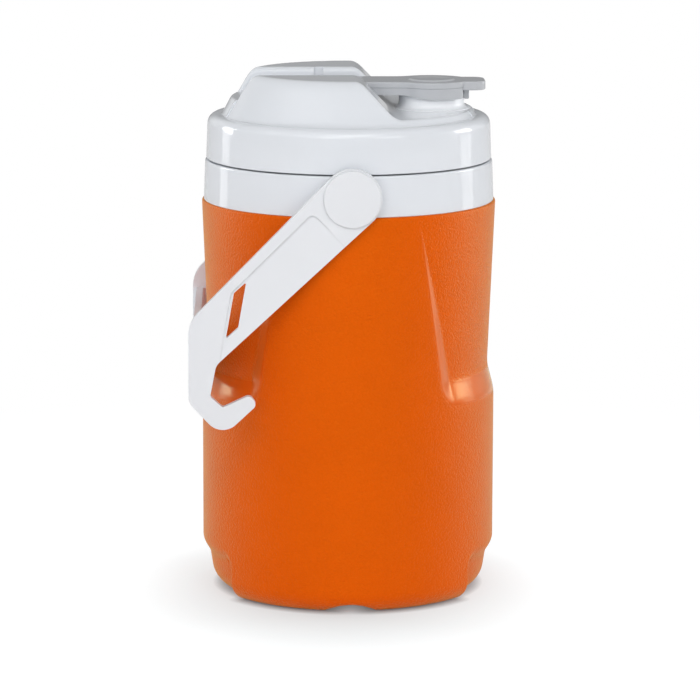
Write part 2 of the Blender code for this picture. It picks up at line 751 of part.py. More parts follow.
def make_hinge_pin():
    end = CHANNEL_WIDTH / 2.0 + HINGE_SEAT_DEPTH - FIT
    pin = rod("cap_hinge_pin", HINGE_PIN_RADIUS, (0.0, -end, 0.0), (0.0, end, 0.0))
    pin.location = (hinge_x, 0.0, hinge_z)
    return finish(pin, grey_satin, lid_axis)


def make_spout_seal():
    flange = SPOUT_RADIUS - LIP_ROUND
    plug_top = bore_radius - FIT
    plug_low = plug_top - SEAL_TAPER
    low = seal_z - SEAL_PLUG_DEPTH
    dish = plug_low - SPOUT_WALL
    top = seal_z + SEAL_FLANGE
    profile = [(0.0, top), (flange, top), (flange, seal_z), (plug_top, seal_z), (plug_low, low)]
    profile += [(dish, low), (dish, seal_z), (0.0, seal_z)]
    seal = turned("spout_seal", profile, False, SMALL_FACETS, (spout_x, 0.0, 0.0))
    return finish(seal, seal_grey, lid_axis)


# Handle: modelled about its pivot, with the arm lowered to the back

def line_crossing(first, first_angle, second, second_angle):
    a = Vector((math.cos(first_angle), math.sin(first_angle)))
    b = Vector((math.cos(second_angle), math.sin(second_angle)))
    apart = Vector(second) - Vector(first)
    along = (apart.x * b.y - apart.y * b.x) / (a.x * b.y - a.y * b.x)
    return Vector(first) + a * along


upper_angle = math.radians(ARM_UPPER_ANGLE)
lower_angle = math.radians(ARM_LOWER_ANGLE)
upper_touch = Vector((-math.sin(upper_angle), math.cos(upper_angle))) * ARM_END_RADIUS
lower_touch = Vector((math.sin(lower_angle), -math.cos(lower_angle))) * ARM_END_RADIUS
elbow = line_crossing(upper_touch, upper_angle, (elbow_x, 0.0), math.pi / 2.0)


def from_elbow(offset):
    corner = (elbow.x + offset[0], elbow.y - offset[1])
    return (*corner, offset[2]) if len(offset) == 3 else corner


def arm_outline():
    throat = from_elbow(HOOK_THROAT_BACK)
    lean = math.radians(90.0 - HOOK_THROAT_LEAN)
    throat_top = line_crossing(lower_touch, lower_angle, throat[:2], lean)
    corners = [(*upper_touch, 0.0), (*elbow, ELBOW_ROUND)]
    corners += [from_elbow(point) for point in (HOOK_HEEL, HOOK_BOTTOM, HOOK_TIP_OUTER, HOOK_TIP_INNER)]
    corners += [from_elbow(HOOK_THROAT_FRONT), throat, (*throat_top, HOOK_THROAT_ROUND)]
    corners.append((*lower_touch, 0.0))
    end = arc((0.0, 0.0), ARM_END_RADIUS, ARM_LOWER_ANGLE - 90.0, ARM_UPPER_ANGLE + 90.0, 12)
    return rounded(corners) + end[1:-1]


def slot_outline():
    first = Vector(from_elbow(SLOT_CORNER))
    short = Vector((SLOT_SHORT_SIDE[0], -SLOT_SHORT_SIDE[1]))
    long = Vector((SLOT_LONG_SIDE[0], -SLOT_LONG_SIDE[1]))
    corners = [first, first + long, first + long + short, first + short]
    return rounded([(*corner, SLOT_ROUND) for corner in corners], 3)


def arm_panel(name, side):
    along = Vector((-math.cos(upper_angle), -math.sin(upper_angle)))
    down = Vector((math.sin(upper_angle), -math.cos(upper_angle)))
    top = upper_touch + down * ARM_PANEL_MARGIN
    slot = Vector(from_elbow(SLOT_CORNER)) + Vector((SLOT_SHORT_SIDE[0], -SLOT_SHORT_SIDE[1]))
    length = (slot - top).dot(along)
    width = 2.0 * ARM_END_RADIUS - ARM_PANEL_MARGIN
    lean = math.asin(ARM_PANEL_DEPTH / width)
    outline = rounded([
        (ARM_PANEL_START, 0.0, LIP_ROUND * 2.0),
        (length, 0.0, LIP_ROUND * 2.0),
        (length, -width * 2.0, 0.0),
        (ARM_PANEL_START, -width * 2.0, 0.0),
    ])
    made = plate(name, [outline], ARM_THICKNESS)
    made.data.transform(Matrix.Translation((0.0, 0.0, ARM_THICKNESS / 2.0 - ARM_PANEL_DEPTH)))
    made.data.transform(Matrix.Rotation(-lean, 4, "X"))
    turn = Matrix((
        (along.x, -down.x, 0.0, top.x),
        (0.0, 0.0, -1.0, -arm_outer),
        (along.y, -down.y, 0.0, top.y),
        (0.0, 0.0, 0.0, 1.0),
    ))
    mirror = Matrix.Diagonal((1.0, side, 1.0, 1.0))
    made.data.transform(mirror @ turn)
    if (mirror @ turn).determinant() < 0.0:
        made.data.flip_normals()
    return made


def make_arm(name, side):
    hole = arc((0.0, 0.0), PIN_RADIUS + FIT, 0.0, 360.0, SMALL_FACETS)[:-1]
    arm = plate(name, [arm_outline(), slot_outline(), hole], ARM_THICKNESS, ARM_CHAMFER)
    middle = side * (arm_inner + arm_outer) / 2.0
    stand = Matrix.Rotation(math.pi / 2.0, 4, "X")
    arm.data.transform(Matrix.Translation((0.0, middle, 0.0)) @ stand)
    return arm


def make_handle():
    handle = make_arm("handle", 1.0)
    grip_top = elbow.y - GRIP_DROP
    grip_x = elbow_x + GRIP_INSET
    half = (arm_inner + arm_outer) / 2.0
    grip_low = (grip_x, -half, grip_top - GRIP_HEIGHT)
    grip = block("grip", grip_low, (grip_x + GRIP_THICKNESS, half, grip_top))
    soften = grip.modifiers.new("Soften", "BEVEL")
    soften.width = LIP_ROUND
    soften.segments = 2
    join(handle, grip, make_arm("handle_right_arm", -1.0))
    cut(handle, arm_panel("left_panel", -1.0), arm_panel("right_panel", 1.0))
    handle.location = (0.0, 0.0, pivot_z)
    return finish(handle, white_satin)


def make_pivot_pin(name, side):
    inner = pin_end + FIT
    seat = arm_outer + FIT
    face = seat + PIN_HEAD_THICKNESS
    shank = PIN_RADIUS
    profile = [(0.0, face)]
    profile += arc((PIN_HEAD_RADIUS - LIP_ROUND, face - LIP_ROUND), LIP_ROUND, 90.0, 0.0, 2)
    profile += [(PIN_HEAD_RADIUS, seat), (shank, seat), (shank, inner), (0.0, inner)]
    pin = turned(name, profile, False, SMALL_FACETS, (0.0, 0.0, pivot_z))
    pin.rotation_euler = (-side * math.pi / 2.0, 0.0, 0.0)
    return finish(pin, white_satin)


lid_axis = axis_empty("lid_axis", (0.0, 0.0, lid_z))
make_outer_shell()
make_fill_plug()
make_foam_core()
make_liner()
make_collar()
make_pivot_pin("pivot_pin_left", 1.0)
make_pivot_pin("pivot_pin_right", -1.0)
make_handle()
make_lid_gasket()
make_lid_plate()
make_lid_foam()
make_lid_shell()
make_pour_spout()
make_spout_cap()
make_hinge_pin()
make_spout_seal()
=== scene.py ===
import math

import bmesh
import bpy
from mathutils import Matrix, Vector


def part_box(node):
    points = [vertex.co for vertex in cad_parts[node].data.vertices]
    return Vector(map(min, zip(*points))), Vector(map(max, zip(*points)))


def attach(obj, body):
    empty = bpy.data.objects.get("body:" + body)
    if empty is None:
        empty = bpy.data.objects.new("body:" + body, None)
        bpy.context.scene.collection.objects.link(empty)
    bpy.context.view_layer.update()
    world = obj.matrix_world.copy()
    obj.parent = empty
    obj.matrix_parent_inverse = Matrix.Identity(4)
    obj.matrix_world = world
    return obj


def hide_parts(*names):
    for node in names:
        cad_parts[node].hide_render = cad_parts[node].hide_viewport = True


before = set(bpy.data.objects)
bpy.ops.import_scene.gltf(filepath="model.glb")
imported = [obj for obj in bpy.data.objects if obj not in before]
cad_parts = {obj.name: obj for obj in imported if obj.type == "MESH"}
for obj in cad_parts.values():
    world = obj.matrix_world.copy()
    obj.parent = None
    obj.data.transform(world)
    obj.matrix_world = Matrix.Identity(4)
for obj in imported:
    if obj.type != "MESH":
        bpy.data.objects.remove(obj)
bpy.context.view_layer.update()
print("frame loaded with", len(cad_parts), "nodes")

mm = 0.001  # pieces are drawn in millimetres and brought to metres when they are finished
mergeGap = 0.002
workScene = bpy.context.scene


# small helpers for measuring, drawing and finishing

nodeBoxes = {}  # lowest and highest corner of each solid
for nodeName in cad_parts:
    boxLow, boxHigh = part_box(nodeName)
    nodeBoxes[nodeName] = (boxLow / mm, boxHigh / mm)


def clamp(value, low=0.0, high=1.0):
    return max(low, min(high, value))


def blendTo(start, end, share):
    return start + (end - start) * share


def smoothMin(a, b, width):
    near = max(width - abs(a - b), 0.0) / width
    return min(a, b) - near * near * width / 4


def smoothMax(a, b, width):
    return -smoothMin(-a, -b, width)


def softClamp(value, startSoft, endSoft):
    return smoothMax(0.0, smoothMin(1.0, value, endSoft), startSoft)


def roundPath(corners, steps=6, closed=False):
    points = []  # corners are (across, up, radius); the ends of an open path stay sharp
    for index, (across, up, radius) in enumerate(corners):
        here = Vector((across, up))
        atEnd = not closed and index in (0, len(corners) - 1)
        if radius == 0 or atEnd:
            points.append(here)
            continue
        back = (Vector(corners[index - 1][:2]) - here).normalized()
        ahead = (Vector(corners[(index + 1) % len(corners)][:2]) - here).normalized()
        half = back.angle(ahead) / 2
        centre = here + (back + ahead).normalized() * radius / math.sin(half)
        first = here + back * radius / math.tan(half) - centre
        final = here + ahead * radius / math.tan(half) - centre
        begin = math.atan2(first.y, first.x)
        sweep = (math.atan2(final.y, final.x) - begin + math.pi) % (2 * math.pi) - math.pi
        for step in range(steps + 1):
            turn = begin + sweep * step / steps
            points.append(centre + Vector((math.cos(turn), math.sin(turn))) * radius)
    return points


def spinPath(bm, points, steps, closed=False, centreX=0.0):
    rim = [bm.verts.new((centreX + point[0], 0, point[1])) for point in points]
    pairs = list(zip(rim, rim[1:])) + ([(rim[-1], rim[0])] if closed else [])
    edges = [bm.edges.new(pair) for pair in pairs]
    bmesh.ops.spin(bm, geom=rim + edges, cent=(centreX, 0, 0), axis=(0, 0, 1),
                   angle=2 * math.pi, steps=steps, use_merge=True)
    bmesh.ops.remove_doubles(bm, verts=bm.verts, dist=mergeGap)
    bmesh.ops.recalc_face_normals(bm, faces=bm.faces)
    return bm


def prism(points, place, rise):
    bm = bmesh.new()  # place turns a flat (across, up) point into its corner in space
    face = bm.faces.new([bm.verts.new(place(point)) for point in points])
    made = bmesh.ops.extrude_face_region(bm, geom=[face])["geom"]
    moved = [part for part in made if isinstance(part, bmesh.types.BMVert)]
    bmesh.ops.translate(bm, vec=rise, verts=moved)
    bmesh.ops.recalc_face_normals(bm, faces=bm.faces)
    return bm


def sharpEdges(bm, angle, keep):
    limit = math.radians(angle)
    edges = [edge for edge in bm.edges if edge.is_manifold and edge.calc_face_angle(0) > limit]
    return [edge for edge in edges if keep is None or keep(edge)]


def soften(bm, width, segments, angle, keep=None):
    bmesh.ops.bevel(bm, geom=sharpEdges(bm, angle, keep), offset=width, affect="EDGES",
                    segments=segments, profile=0.5, material=-1, clamp_overlap=True)
    return bm


def workObject(bm, name):
    mesh = bpy.data.meshes.new(name)
    bm.to_mesh(mesh)
    bm.free()
    thing = bpy.data.objects.new(name, mesh)
    workScene.collection.objects.link(thing)
    return thing


def combine(bm, operation, *tools):
    target = workObject(bm, "workTarget")
    helpers = [workObject(tool, "workTool") for tool in tools]
    for helper in helpers:
        step = target.modifiers.new("step", "BOOLEAN")
        step.operation = operation
        step.solver = "EXACT"
        step.object = helper
    bpy.context.view_layer.update()
    result = bmesh.new()
    result.from_object(target, bpy.context.evaluated_depsgraph_get())
    for thing in [target, *helpers]:
        mesh = thing.data
        bpy.data.objects.remove(thing)
        bpy.data.meshes.remove(mesh)
    bmesh.ops.remove_doubles(result, verts=result.verts, dist=mergeGap)
    return result


def finishPiece(bm, name, body, finish, nodes, sharpAngle=40, evenFaces=False):
    bmesh.ops.remove_doubles(bm, verts=bm.verts, dist=mergeGap)
    bmesh.ops.recalc_face_normals(bm, faces=bm.faces)
    bmesh.ops.scale(bm, vec=(mm, mm, mm), verts=bm.verts)
    mesh = bpy.data.meshes.new(name)
    bm.to_mesh(mesh)
    bm.free()
    mesh.shade_smooth()
    mesh.set_sharp_from_angle(angle=math.radians(sharpAngle))
    mesh.materials.append(finishes[finish])
    piece = bpy.data.objects.new(name, mesh)
    workScene.collection.objects.link(piece)
    if evenFaces:  # flat faces stay flat beside their rounded edges
        even = piece.modifiers.new("evenFaces", "WEIGHTED_NORMAL")
        even.keep_sharp = True
    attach(piece, body)
    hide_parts(*nodes)
    print(name, "finished with", len(mesh.polygons), "faces")
    return piece


# finishes

def addNode(tree, kind, inputs=None, **settings):
    node = tree.nodes.new("ShaderNode" + kind)
    for key, value in settings.items():
        setattr(node, key, value)
    for key, value in (inputs or {}).items():
        if isinstance(value, bpy.types.NodeSocket):
            tree.links.new(value, node.inputs[key])
        else:
            node.inputs[key].default_value = value
    return node


def newGroup(name, inputs, outputs):
    group = bpy.data.node_groups.new(name, "ShaderNodeTree")
    for label, value in inputs.items():
        kind = "NodeSocketColor" if isinstance(value, tuple) else "NodeSocketFloat"
        group.interface.new_socket(name=label, in_out="INPUT", socket_type=kind).default_value = value
    for label, kind in outputs.items():
        group.interface.new_socket(name=label, in_out="OUTPUT", socket_type=kind)
    return group, group.nodes.new("NodeGroupInput").outputs, group.nodes.new("NodeGroupOutput").inputs


def objectPoint(tree, stretch=None):
    point = addNode(tree, "TexCoord").outputs["Object"]
    if stretch:
        point = addNode(tree, "Mapping", {"Vector": point, "Scale": stretch}).outputs["Vector"]
    return point


def scaled(tree, value, factor, operation="MULTIPLY"):
    return addNode(tree, "Math", {0: value, 1: factor}, operation=operation).outputs["Value"]


def ramp(tree, value, fromLow, fromHigh, toLow, toHigh):
    limits = {"From Min": fromLow, "From Max": fromHigh, "To Min": toLow, "To Max": toHigh}
    return addNode(tree, "MapRange", {"Value": value, **limits}).outputs["Result"]


def multiplyAdd(tree, value, factor, added):
    return addNode(tree, "Math", {0: value, 1: factor, 2: added}, operation="MULTIPLY_ADD").outputs["Value"]


def noise(tree, point, scale, detail, warp=0.0):
    inputs = {"Vector": point, "Scale": scale, "Detail": detail, "Distortion": warp}
    return addNode(tree, "TexNoise", inputs).outputs


pebbles = {"wobbleScale": 620.0, "wobbleReach": 0.0011, "smoothness": 0.35, "poreScale": 2600.0, "poreDepth": 0.22}


def makePebbleGroup():
    group, given, out = newGroup("pebbleGrain", {"Cell Scale": 900.0, "Depth": 1.0}, {"Height": "NodeSocketFloat"})
    point = objectPoint(group)
    wobble = noise(group, point, pebbles["wobbleScale"], 2.0)["Color"]
    pull = addNode(group, "VectorMath", {0: wobble, "Scale": pebbles["wobbleReach"]}, operation="SCALE")
    moved = addNode(group, "VectorMath", {0: point, 1: pull.outputs["Vector"]}, operation="ADD")
    cells = addNode(group, "TexVoronoi", {"Vector": moved.outputs["Vector"], "Scale": given["Cell Scale"],
                                          "Smoothness": pebbles["smoothness"]}, feature="SMOOTH_F1")
    pores = noise(group, point, pebbles["poreScale"], 1.0)["Fac"]
    pebble = scaled(group, cells.outputs["Distance"], -1.0)
    mixed = multiplyAdd(group, pores, pebbles["poreDepth"], pebble)
    group.links.new(scaled(group, mixed, given["Depth"]), out["Height"])
    return group


toneDrift = {"cloudScale": 26.0, "speckScale": 1500.0, "speckShare": 0.35}


def makeToneGroup():
    group, given, out = newGroup("mouldTone", {"Tint": (1.0, 1.0, 1.0, 1.0), "Drift": 0.05},
                                 {"Color": "NodeSocketColor"})
    clouds = noise(group, objectPoint(group), toneDrift["cloudScale"], 3.0)["Fac"]
    specks = noise(group, objectPoint(group), toneDrift["speckScale"], 1.0)["Fac"]
    both = multiplyAdd(group, specks, toneDrift["speckShare"], clouds)
    centred = scaled(group, both, -(1 + toneDrift["speckShare"]) / 2, "ADD")
    swing = multiplyAdd(group, centred, given["Drift"], 1.0)
    tinted = addNode(group, "VectorMath", {0: given["Tint"], "Scale": swing}, operation="SCALE")
    group.links.new(tinted.outputs["Vector"], out["Color"])
    return group


handling = {"smearStretch": (1.0, 1.0, 0.45), "smearScale": 55.0, "smearWarp": 0.6,
            "streakStretch": (1.0, 1.0, 0.03), "streakScale": 1400.0, "streakRange": (0.68, 0.76)}


def makeHandlingGroup():
    group, given, out = newGroup("handlingMarks", {"Base": 0.3, "Smudge": 0.06, "Hairline": 0.08},
                                 {"Roughness": "NodeSocketFloat"})
    smearPoint = objectPoint(group, handling["smearStretch"])
    smears = noise(group, smearPoint, handling["smearScale"], 4.0, handling["smearWarp"])["Fac"]
    centred = scaled(group, smears, -0.5, "ADD")
    streaks = noise(group, objectPoint(group, handling["streakStretch"]), handling["streakScale"], 0.0)["Fac"]
    lines = ramp(group, streaks, *handling["streakRange"], 0.0, 1.0)
    smudged = multiplyAdd(group, centred, given["Smudge"], given["Base"])
    group.links.new(multiplyAdd(group, lines, given["Hairline"], smudged), out["Roughness"])
    return group


skinScale = {"ripple": 70.0, "stipple": 3000.0}


def makeSkinGroup():
    group, given, out = newGroup("mouldSkin", {"Ripple": 1.0, "Stipple": 0.0}, {"Height": "NodeSocketFloat"})
    ripple = noise(group, objectPoint(group), skinScale["ripple"], 2.0)["Fac"]
    stipple = noise(group, objectPoint(group), skinScale["stipple"], 1.0)["Fac"]
    rippled = scaled(group, ripple, given["Ripple"])
    group.links.new(multiplyAdd(group, stipple, given["Stipple"], rippled), out["Height"])
    return group


pebbleGrain = makePebbleGroup()
mouldTone = makeToneGroup()
handlingMarks = makeHandlingGroup()
mouldSkin = makeSkinGroup()


def useGroup(tree, group, values):
    node = tree.nodes.new("ShaderNodeGroup")
    node.node_tree = group
    for key, value in values.items():
        node.inputs[key].default_value = value
    return node.outputs


def newPlastic(name, look):
    material = bpy.data.materials.new(name)
    material.use_nodes = True
    tree = material.node_tree
    shader = tree.nodes["Principled BSDF"]
    shader.inputs["IOR"].default_value = look["ior"]
    shader.inputs["Specular IOR Level"].default_value = look["specular"]
    if look.get("sheen"):
        shader.inputs["Sheen Weight"].default_value = look["sheen"]
        shader.inputs["Sheen Roughness"].default_value = look["sheenRough"]
        shader.inputs["Sheen Tint"].default_value = (*look["sheenTint"], 1.0)
    if look.get("scatter"):
        shader.inputs["Subsurface Weight"].default_value = look["scatter"]
        shader.inputs["Subsurface Radius"].default_value = look["scatterReach"]
        shader.inputs["Subsurface Scale"].default_value = look["scatterScale"]
    tone = useGroup(tree, mouldTone, {"Tint": (*look["colour"], 1.0), "Drift": look["drift"]})
    marks = useGroup(tree, handlingMarks, {"Base": look["rough"], "Smudge": look["smudge"],
                                           "Hairline": look["hairline"]})
    colour = tone["Color"]
    rough = marks["Roughness"]
    if look["grain"]:  # painted shade in the pits of the grain and painted light on its tops: the colour is a little darker low and a little lighter high
        height = useGroup(tree, pebbleGrain, {"Cell Scale": look["cellScale"]})["Height"]
        paintedPitTone = ramp(tree, height, *look["pitRange"], 1 - look["paintedPitShade"], 1 + look["paintedPitShade"] / 2)
        colour = addNode(tree, "VectorMath", {0: colour, "Scale": paintedPitTone}, operation="SCALE").outputs["Vector"]
    else:
        height = useGroup(tree, mouldSkin, {"Ripple": look["ripple"], "Stipple": look["stipple"]})["Height"]
    if look.get("polished"):  # creases that the mould polishes are smooth and clear, by the piece's own attribute
        polish = addNode(tree, "Attribute", attribute_name="polish").outputs["Fac"]
        dull = scaled(tree, 1.0, polish, "SUBTRACT")
        height = scaled(tree, height, dull)
        gloss = scaled(tree, polish, -look["polished"])
        rough = scaled(tree, rough, gloss, "ADD")
        tree.links.new(scaled(tree, polish, look["clear"]), shader.inputs["Coat Weight"])
        shader.inputs["Coat Roughness"].default_value = look["clearRough"]
        shader.inputs["Specular Tint"].default_value = (*look["glossTint"], 1.0)
    tree.links.new(colour, shader.inputs["Base Color"])
    tree.links.new(rough, shader.inputs["Roughness"])
    bump = addNode(tree, "Bump", {"Height": height, "Strength": look["bump"], "Distance": look["bumpDepth"] * mm})
    tree.links.new(bump.outputs["Normal"], shader.inputs["Normal"])
    return material


plasticLook = {
    "ior": 1.5, "specular": 0.5, "drift": 0.05, "rough": 0.3, "smudge": 0.05, "hairline": 0.04,
    "scatterReach": (0.004, 0.004, 0.004), "scatterScale": 0.5,
    "grain": False, "cellScale": 900.0, "pitRange": (-0.75, -0.05), "paintedPitShade": 0.12,
    "ripple": 1.0, "stipple": 0.02, "bump": 0.2, "bumpDepth": 0.05,
}
finishLooks = {  # what each finish has of its own
    "bodyOrange": {"colour": (0.74, 0.084, 0.0003), "drift": 0.10, "rough": 0.36, "specular": 0.36,
                   "grain": True, "cellScale": 980.0, "paintedPitShade": 0.03, "bump": 1.0, "bumpDepth": 0.26,
                   "polished": 0.18, "clear": 0.20, "clearRough": 0.18, "glossTint": (1.0, 1.0, 0.10),
                   "sheen": 0.24, "sheenRough": 0.45, "sheenTint": (0.62, 1.0, 0.06)},
    "lidWhite": {"colour": (0.755, 0.782, 0.822), "drift": 0.03, "rough": 0.06, "scatter": 0.12},
    # painted light: the spout is the lid's white plastic, painted lighter than the lid's white to stand in for the
    # light it catches
    "spoutWhitePaintedLight": {"colour": (0.89, 0.91, 0.94), "drift": 0.03, "rough": 0.30, "scatter": 0.12},
    "handleWhite": {"colour": (0.765, 0.78, 0.81), "drift": 0.04, "rough": 0.33, "stipple": 0.10, "scatter": 0.08},
    "capGrey": {"colour": (0.49, 0.505, 0.53), "drift": 0.06, "rough": 0.20, "stipple": 0.08},
    "linerWhite": {"colour": (0.78, 0.785, 0.77), "rough": 0.25},
    "sealGrey": {"colour": (0.50, 0.52, 0.53), "rough": 0.60, "specular": 0.3, "stipple": 0.12},
    "foamCream": {"colour": (0.80, 0.70, 0.42), "drift": 0.20, "rough": 0.92, "specular": 0.2,
                  "grain": True, "cellScale": 420.0, "bump": 0.8, "bumpDepth": 0.25},
}
finishes = {name: newPlastic(name, {**plasticLook, **look}) for name, look in finishLooks.items()}
print("finishes ready:", len(bpy.data.node_groups), "shared groups")


# camera, lights and floor

photoCamera = {"place": (-0.0471, -1.9994, 0.4796), "pitch": 10.18, "yaw": 1.35, "roll": 0.137, "lens": 204.85,
               "sensor": 36.0, "shiftX": 0.00246, "clipEnd": 20.0}


def makeCamera():
    camera = bpy.data.cameras.new("photoCamera")
    camera.sensor_width = photoCamera["sensor"]
    camera.lens = photoCamera["lens"]
    camera.shift_x = photoCamera["shiftX"]
    camera.clip_end = photoCamera["clipEnd"]
    holder = bpy.data.objects.new("photoCamera", camera)
    turn = (Matrix.Rotation(math.radians(-photoCamera["yaw"]), 4, "Z")
            @ Matrix.Rotation(math.radians(90 - photoCamera["pitch"]), 4, "X")
            @ Matrix.Rotation(math.radians(photoCamera["roll"]), 4, "Z"))
    holder.matrix_world = Matrix.Translation(photoCamera["place"]) @ turn
    workScene.collection.objects.link(holder)
    workScene.camera = holder


studio = {
    "aim": (0.0, 0.0, 0.15),
    "panels": {  # place, width, height, power
        "leftStrip": ((-1.00, 0.49, 0.135), 0.22, 0.13, 0.15),
        "rightStrip": ((1.07, 0.29, 0.10), 0.28, 0.20, 0.25),
        "leftHigh": ((-1.00, 0.45, 0.39), 0.32, 0.40, 2.6),
        "rightHigh": ((1.07, 0.25, 0.41), 0.42, 0.38, 3.5),
        "leftTop": ((-1.35, -1.15, 1.25), 1.80, 1.60, 6.5),
        "frontTop": ((0.05, -1.35, 1.30), 1.10, 0.36, 6.2),
        "frontLeft": ((-0.55, -2.55, 0.85), 1.40, 0.80, 11.2),
        "frontRight": ((1.20, -2.20, 0.80), 1.20, 0.80, 9.0),
    },
    "ring": (0.0, 1.0, 0.22, 0.50),  # the room's light, from level with the jug to straight above
    "room": 0.45, "behind": 1.0, "roomTurn": (-0.5, 0.3), "canopy": (0.25, 0.70),  # the room as gloss mirrors it
    "glows": (((0.927, 0.375, 0.0), 0.80, 0.95, 0.80),  # way, start, full and level
              ((-0.55, 0.80, 0.22), 0.90, 0.98, 0.55)),
    "floorReach": 8.0, "floorColour": 0.86, "floorShown": (0.27, 0.312, 0.322), "floorLift": 0.82,
    "floorFade": (0.20, 0.50), "mirrored": 0.18,
    "paintedContact": (0.005, 0.20), "contactSamples": 16,  # reach and darkest share of the painted shade that darkens the floor's glow under and beside the foot
    "paintedShadow": ((-0.005, -0.020), (0.106, 0.139), 0.36, 0.64),  # painted shadow on the floor round the jug: centre, size, darkest share and rise
}
pureWhite = (1.0, 1.0, 1.0, 1.0)


def mixValue(tree, share, start, end):
    return addNode(tree, "Mix", {0: share, 2: start, 3: end}).outputs[0]


def lengthOf(tree, point):
    return addNode(tree, "VectorMath", {0: point}, operation="LENGTH").outputs["Value"]


def makeLights():
    for name, (place, width, height, power) in studio["panels"].items():
        panel = bpy.data.lights.new(name, "AREA")
        panel.shape = "RECTANGLE"
        panel.size = width
        panel.size_y = height
        panel.energy = power
        holder = bpy.data.objects.new(name, panel)
        aim = Vector(studio["aim"]) - Vector(place)
        holder.matrix_world = Matrix.Translation(place) @ aim.to_track_quat("-Z", "Y").to_matrix().to_4x4()
        workScene.collection.objects.link(holder)


def makeWorld():
    world = bpy.data.worlds.new("studioWorld")
    workScene.world = world
    world.use_nodes = True
    tree = world.node_tree
    tree.nodes.clear()
    path = addNode(tree, "LightPath").outputs
    mirrored = scaled(tree, path["Is Glossy Ray"], path["Is Transmission Ray"], "MAXIMUM")
    ray = addNode(tree, "TexCoord").outputs["Generated"]
    way = addNode(tree, "SeparateXYZ", {"Vector": ray}).outputs
    ring = ramp(tree, way["Z"], *studio["ring"])
    low = ramp(tree, way["Y"], *studio["roomTurn"], studio["room"], studio["behind"])
    upward = ramp(tree, way["Z"], *studio["canopy"], 0.0, 1.0)
    shown = scaled(tree, ring, mixValue(tree, upward, low, 1.0))
    for toward, glowFrom, glowTo, glowLevel in studio["glows"]:
        aside = addNode(tree, "VectorMath", {0: ray, 1: toward}, operation="DOT_PRODUCT").outputs["Value"]
        shown = scaled(tree, shown, ramp(tree, aside, glowFrom, glowTo, 0.0, glowLevel), "ADD")
    level = mixValue(tree, mirrored, ring, shown)
    seen = mixValue(tree, path["Is Camera Ray"], level, 1.0)
    glow = addNode(tree, "Background", {"Color": pureWhite, "Strength": seen})
    out = addNode(tree, "OutputWorld")
    tree.links.new(glow.outputs["Background"], out.inputs["Surface"])


def makeFloor():
    bm = bmesh.new()
    bmesh.ops.create_grid(bm, x_segments=4, y_segments=4, size=studio["floorReach"])
    mesh = bpy.data.meshes.new("studioFloor")
    bm.to_mesh(mesh)
    bm.free()
    floor = bpy.data.objects.new("studioFloor", mesh)
    workScene.collection.objects.link(floor)
    material = bpy.data.materials.new("studioFloor")
    material.use_nodes = True
    tree = material.node_tree
    tree.nodes.clear()
    path = addNode(tree, "LightPath").outputs
    bounce = (*[studio["floorColour"]] * 3, 1.0)
    shown = (*studio["floorShown"], 1.0)
    tone = addNode(tree, "Mix", {0: path["Is Camera Ray"], 6: bounce, 7: shown}, data_type="RGBA")
    paper = addNode(tree, "BsdfDiffuse", {"Color": tone.outputs[2]}).outputs["BSDF"]
    mirrored = scaled(tree, path["Is Glossy Ray"], studio["mirrored"])
    direct = scaled(tree, path["Is Camera Ray"], path["Is Transmission Ray"], "MAXIMUM")
    seen = scaled(tree, direct, mirrored, "MAXIMUM")
    # painted shade: ambient occlusion darkens the floor's glow under and beside the foot
    reach, darkest = studio["paintedContact"]
    nearness = addNode(tree, "AmbientOcclusion", {"Distance": reach}, samples=studio["contactSamples"])
    # painted shadow: an oval of darker floor, set a little in front of the jug, dims the floor's glow
    (poolX, poolY), (poolWide, poolDeep), poolDark, poolRise = studio["paintedShadow"]
    centred = {"Location": (-poolX / poolWide, -poolY / poolDeep, 0.0), "Scale": (1 / poolWide, 1 / poolDeep, 1.0)}
    paintedShadow = addNode(tree, "Mapping", {"Vector": objectPoint(tree), **centred}).outputs["Vector"]
    paintedShadowShade = ramp(tree, lengthOf(tree, paintedShadow), 0.0, (1 - poolDark) / poolRise, poolDark, 1.0)
    paintedFloorShade = scaled(tree, paintedShadowShade, ramp(tree, nearness.outputs["AO"], 0.0, 1.0, darkest, 1.0))
    # the floor's glow carries both the painted shadow and the painted contact shade
    strength = scaled(tree, seen, scaled(tree, paintedFloorShade, studio["floorLift"]))
    lift = addNode(tree, "Emission", {"Color": pureWhite, "Strength": strength}).outputs["Emission"]
    lit = addNode(tree, "AddShader", {0: paper, 1: lift}).outputs["Shader"]
    white = addNode(tree, "Emission", {"Color": pureWhite, "Strength": 1.0}).outputs["Emission"]
    fade = ramp(tree, lengthOf(tree, objectPoint(tree)), *studio["floorFade"], 0.0, 1.0)
    away = scaled(tree, fade, seen)  # far floor is the white background
    mixed = addNode(tree, "MixShader", {0: away, 1: lit, 2: white})
    out = addNode(tree, "OutputMaterial")
    tree.links.new(mixed.outputs["Shader"], out.inputs["Surface"])
    mesh.materials.append(material)


workScene.view_settings.view_transform = "Standard"
makeCamera()
makeLights()
makeWorld()
makeFloor()
print("studio ready")


# body shell: a spun wall whose columns crowd to the panel creases and whose points sink into the panels

